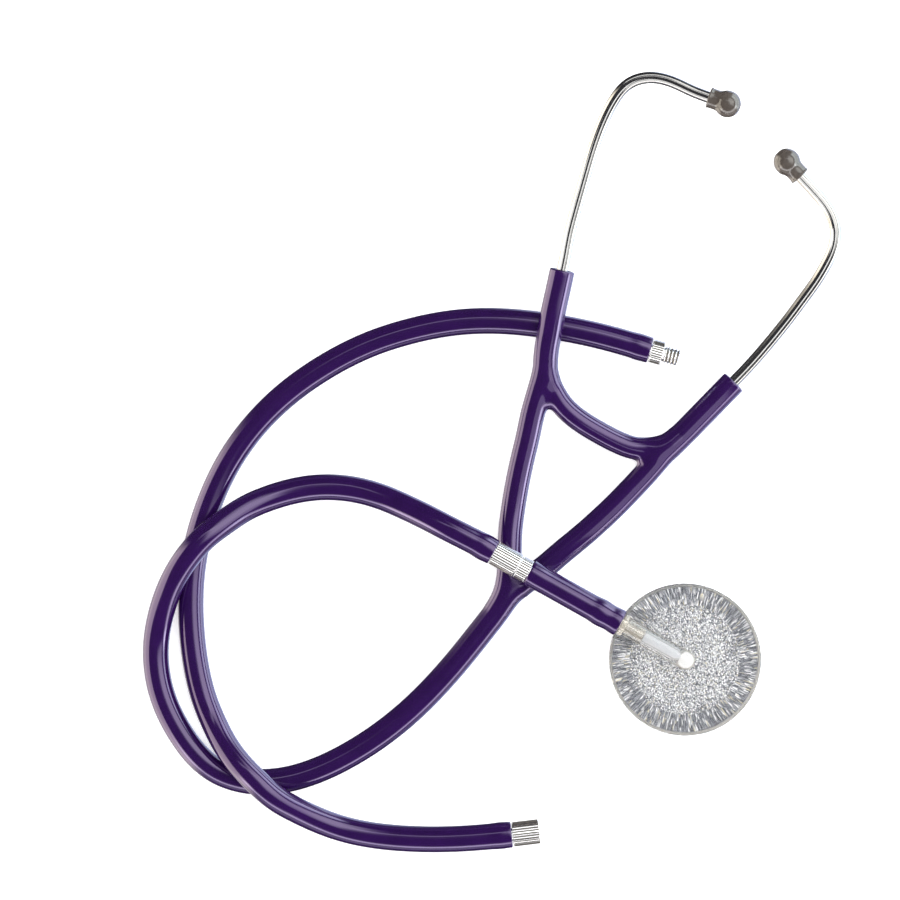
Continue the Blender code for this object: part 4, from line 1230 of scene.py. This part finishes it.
def make_glitter():
    """Crinkled metal film: small tilted specks in the middle, long radial streaks outside."""
    rng = np.random.default_rng(7)
    grid = speckle_points(rng)
    points = [Vector(p) for p in circle(FOIL_HOLE_R, HOLE_SIDES) + circle(SPECKLE_R, STREAKS) + grid]
    flat, faces = filled(points, loop_edges(0, HOLE_SIDES) + loop_edges(HOLE_SIDES, STREAKS))
    verts = [(v.x, v.y, FOIL_TOP_Z - rng.uniform(0.0, FOIL_RELIEF)) for v in flat]

    def ring_at(radius):
        """The vertices on a ring, from a little past -X and anticlockwise."""
        on_ring = [i for i, v in enumerate(flat) if abs(v.length - radius) < ON_RING]
        return sorted(on_ring, key=lambda i: math.atan2(flat[i].y, flat[i].x))

    streak_of = {round(math.atan2(flat[i].y, flat[i].x) / (2.0 * math.pi) * STREAKS) % STREAKS: i
                 for i in ring_at(SPECKLE_R)}
    outer = streak_rings(rng, verts, faces, [streak_of[i] for i in range(STREAKS)])
    inner = ring_at(FOIL_HOLE_R)
    lower = list(range(len(verts), len(verts) + len(outer) + len(inner)))
    verts += [(verts[i][0], verts[i][1], FOIL_BOTTOM_Z) for i in outer + inner]
    faces += ring_faces(outer, lower[:len(outer)]) + ring_faces(inner, lower[len(outer):])
    bottom = [Vector(verts[i][:2]) for i in lower]
    flat, bottom_faces = filled(bottom, loop_edges(0, len(outer)) + loop_edges(len(outer), len(inner)))
    index_of = {rounded(place): i for place, i in zip(bottom, lower)}
    faces += [tuple(index_of[rounded(flat[i])] for i in face) for face in bottom_faces]
    mesh = bpy.data.meshes.new("glitter_film")
    mesh.from_pydata(verts, [], faces)
    fix_normals(mesh)
    tint = mesh.attributes.new("flake_tint", "FLOAT_COLOR", "FACE")
    colours = np.ones((len(mesh.polygons), 4), np.float32)
    for i, polygon in enumerate(mesh.polygons):
        colours[i, :3] = flake_colour(rng, math.hypot(polygon.center.x, polygon.center.y))
    tint.data.foreach_set("color", colours.ravel())
    new_piece("glitter_film", mesh, "silver_glitter", "chest_half", "glitter_disc")


# ---------------------------------------------------------------- chestpiece

EDGE_SHADE_SLOPE = 0.5              # the bar's faces get painted edge shade where their normal's Z is less than this
BAR_FOOT_Z = DISC_TOP_Z - 0.0008
SKIRT_R = 0.0297
SKIRT_Z = 0.0012
CHAMBER_R = 0.0293
CHAMBER_Z = 0.0036
DISC_EDGE_Z = 0.0029


def carve(piece, operation, tool):
    step = piece.modifiers.new(tool.name, "BOOLEAN")
    step.operation = operation
    step.solver = "EXACT"
    step.material_mode = "TRANSFER"
    step.object = tool
    apply_modifiers(piece)
    bpy.data.objects.remove(tool, do_unlink=True)


def smoky_sides(mesh, line=None):
    """Clear acrylic with painted edge shade on its upright sides, apart from a face across the bar's line.
    """
    mesh.materials.append(MATERIALS["clear_acrylic"])
    # the second material paints shade on the bar's upright sides
    mesh.materials.append(MATERIALS["smoky_acrylic"])
    for polygon in mesh.polygons:
        across = line is not None and abs(polygon.normal.dot(line)) > 0.5
        if abs(polygon.normal.z) < EDGE_SHADE_SLOPE and not across:
            polygon.material_index = 1


def make_bar():
    """The bar on the disc as one closed solid: straight sides, round top and round inner end."""
    section = [(BAR_R, BAR_FOOT_Z)]
    section += arc((0.0, CHEST_LINE_Z), BAR_R, 0.0, 180.0, 24)
    section.append((-BAR_R, BAR_FOOT_Z))
    shape = bmesh.new()
    along = Vector((CHEST_LINE.x, CHEST_LINE.y, 0.0))
    across = Vector((-along.y, along.x, 0.0))
    outer, inner = [
        [shape.verts.new(along * reach + across * side + Vector((0, 0, up))) for side, up in section]
        for reach in (BAR_END, 0.0)]
    for i, j in loop_edges(0, len(section)):
        shape.faces.new((outer[i], outer[j], inner[j], inner[i]))
    shape.faces.new(outer)
    shape.faces.new(inner)
    bmesh.ops.recalc_face_normals(shape, faces=shape.faces)
    mesh = bpy.data.meshes.new("bar")
    shape.to_mesh(mesh)
    shape.free()
    smoky_sides(mesh, CHEST_LINE)
    end_profile = arc((CHEST_LINE_Z, 0.0), BAR_R, 0.0, 90.0, 12) + [(BAR_FOOT_Z, BAR_R), (BAR_FOOT_Z, 0.0)]
    end_mesh = swept_mesh("bar_end", UPRIGHT, end_profile, 48)
    smoky_sides(end_mesh)
    bar = add_object("bar", mesh)
    carve(bar, "UNION", add_object("bar_end", end_mesh))
    return bar


def make_chest_body():
    """Clear acrylic: a disc with a hollow underside, the bar on it and its drilled bores."""
    edge, foot_edge = 0.0005, 0.0003
    profile = [(DISC_TOP_Z, 0.0), (DISC_TOP_Z, 0.012), (DISC_TOP_Z, 0.024)]
    profile += arc((DISC_TOP_Z - edge, DISC_R - edge), edge, 0.0, 90.0, 8)
    profile += [(DISC_EDGE_Z + 0.003, DISC_R)]
    profile += arc((DISC_EDGE_Z + foot_edge, DISC_R - foot_edge), foot_edge, 90.0, 180.0, 3)
    profile += [(DISC_EDGE_Z, SKIRT_R), (SKIRT_Z, SKIRT_R), (SKIRT_Z, CHAMBER_R), (CHAMBER_Z, CHAMBER_R),
                (CHAMBER_Z, 0.012), (CHAMBER_Z, 0.0)]
    body = add_object("chest_body_fine", swept_mesh("chest_body_fine", UPRIGHT, profile, 128))
    body.data.materials.append(MATERIALS["clear_acrylic"])
    carve(body, "UNION", make_bar())
    bore_r, socket_r, socket_start, past = 0.0018, 0.0030, 0.0190, 0.001
    for name, finish, path, outline in (
            ("centre_bore", "milled_acrylic", UPRIGHT,
             [(CHAMBER_Z - past, 0.0), (CHAMBER_Z - past, FOIL_HOLE_R),
              (CHEST_LINE_Z + 0.0006, FOIL_HOLE_R), (CHEST_LINE_Z + 0.0018, 0.0)]),
            ("bar_bore", "drilled_acrylic", CHEST_PATH,
             [(0.0007, 0.0), (0.0046, bore_r), (socket_start + past, bore_r), (socket_start + past, 0.0)]),
            ("stem_socket", "clear_acrylic", CHEST_PATH,
             [(socket_start, 0.0), (socket_start, socket_r), (BAR_END + past, socket_r),
              (BAR_END + past, 0.0)])):
        tool = add_object(name, swept_mesh(name, path, outline, 40))
        tool.data.materials.append(MATERIALS[finish])
        carve(body, "DIFFERENCE", tool)
    smooth(body.data, 30.0)
    stand_for(body, "chest_half", "chest_body")


def make_stem():
    """The stem insert: a stepped tube in the bar's socket, a flange and two barbs in the hose."""
    start, flange, flange_end, end = 0.0193, 0.0273, 0.0295, 0.0405
    stem_r, groove_r, flange_r = 0.0026, 0.0022, 0.0044
    profile = [(start, FITTING_BORE_R), (start, stem_r - 0.0003), (start + 0.0003, stem_r),
               (start + 0.0032, stem_r), (start + 0.0036, groove_r), (start + 0.0044, groove_r),
               (start + 0.0048, stem_r), (flange, stem_r)]
    profile += arc((flange + 0.0005, flange_r - 0.0005), 0.0005, 180.0, 90.0, 4)
    profile += arc((flange_end - 0.0004, flange_r - 0.0004), 0.0004, 90.0, 0.0, 4)
    profile += barb_profile(flange_end, end) + [(end, FITTING_BORE_R)]
    mesh = swept_mesh("chest_stem_fine", CHEST_PATH, profile, 64, closed=True, sharp=30.0)
    new_piece("chest_stem_fine", mesh, "frosted_acrylic", "chest_half", "chest_stem")


def make_ring():
    """The smoky ring that holds the diaphragm, with one turned groove round it."""
    top, inner_r, lip_r, lip = 0.0026, 0.0300, 0.0291, 0.0003
    top_edge, foot_edge, groove_r = 0.0003, 0.0005, DISC_R - 0.00015
    profile = [(top, inner_r)] + arc((top - top_edge, DISC_R - top_edge), top_edge, 0.0, 90.0, 4)
    profile += [(0.0016, DISC_R), (0.0015, groove_r), (0.0013, groove_r), (0.0012, DISC_R)]
    profile += arc((foot_edge, DISC_R - foot_edge), foot_edge, 90.0, 180.0, 5)
    profile += [(0.0, lip_r), (lip, lip_r), (lip, inner_r)]
    mesh = swept_mesh("retaining_ring_fine", UPRIGHT, profile, 144, closed=True, sharp=30.0)
    new_piece("retaining_ring_fine", mesh, "smoky_acrylic", "diaphragm_ring",
              "retaining_ring")


def make_diaphragm():
    """A stiff disc with a stepped edge and a fine ring pressed into its outer face."""
    face_r, flange_r, thick, step_z = 0.0288, 0.0297, 0.0009, 0.0006
    profile = [(thick, 0.0), (thick, 0.015), (thick, flange_r - 0.0002), (thick - 0.0001, flange_r),
               (step_z, flange_r), (step_z, face_r), (0.0002, face_r), (0.0, face_r - 0.0002),
               (0.0, 0.024), (0.0001, 0.0238), (0.0001, 0.0234), (0.0, 0.0232), (0.0, 0.012), (0.0, 0.0)]
    mesh = swept_mesh("diaphragm_fine", UPRIGHT, profile, 144, sharp=30.0)
    new_piece("diaphragm_fine", mesh, "white_diaphragm", "diaphragm_ring", "diaphragm")


def dress_cad_nodes():
    """CAD nodes that keep their own shape: small inner parts."""
    finishes = {
        "yoke_spring": "spring_steel",
        "left_ear_nozzle": "polished_steel",
        "right_ear_nozzle": "polished_steel",
        "coupling_washer": "black_rubber",
        "extension_washer": "black_rubber",
    }
    for node, finish in finishes.items():
        data = frame["nodes"][node].data
        data.materials.clear()
        data.materials.append(MATERIALS[finish])


# ---------------------------------------------------------------- build

make_studio()
make_main_hose()
extension_piece, extension_path = make_extension_hose()
declare_extension_cord(extension_piece, extension_path, make_fittings()["extension_sleeve"])
make_yoke()
for ear_side, arm_route, hinge_at, sleeve_end, sleeve_line, ear_route, tip_line in (
        ("left", STEM_AND_LEFT_ARM, LEFT_HINGE, LEFT_SLEEVE_END, LEFT_SLEEVE_LINE,
         LEFT_EAR_TUBE, LEFT_TIP_LINE),
        ("right", RIGHT_ARM, RIGHT_HINGE, RIGHT_SLEEVE_END, RIGHT_SLEEVE_LINE,
         RIGHT_EAR_TUBE, RIGHT_TIP_LINE)):
    make_sleeve(ear_side, arm_route, hinge_at, sleeve_end, sleeve_line)
    make_ear_tip(ear_side, make_ear_tube(ear_side, ear_route, sleeve_end, sleeve_line), tip_line)
make_chest_tube()
make_stem()
make_glitter()
make_chest_body()
make_ring()
make_diaphragm()
dress_cad_nodes()
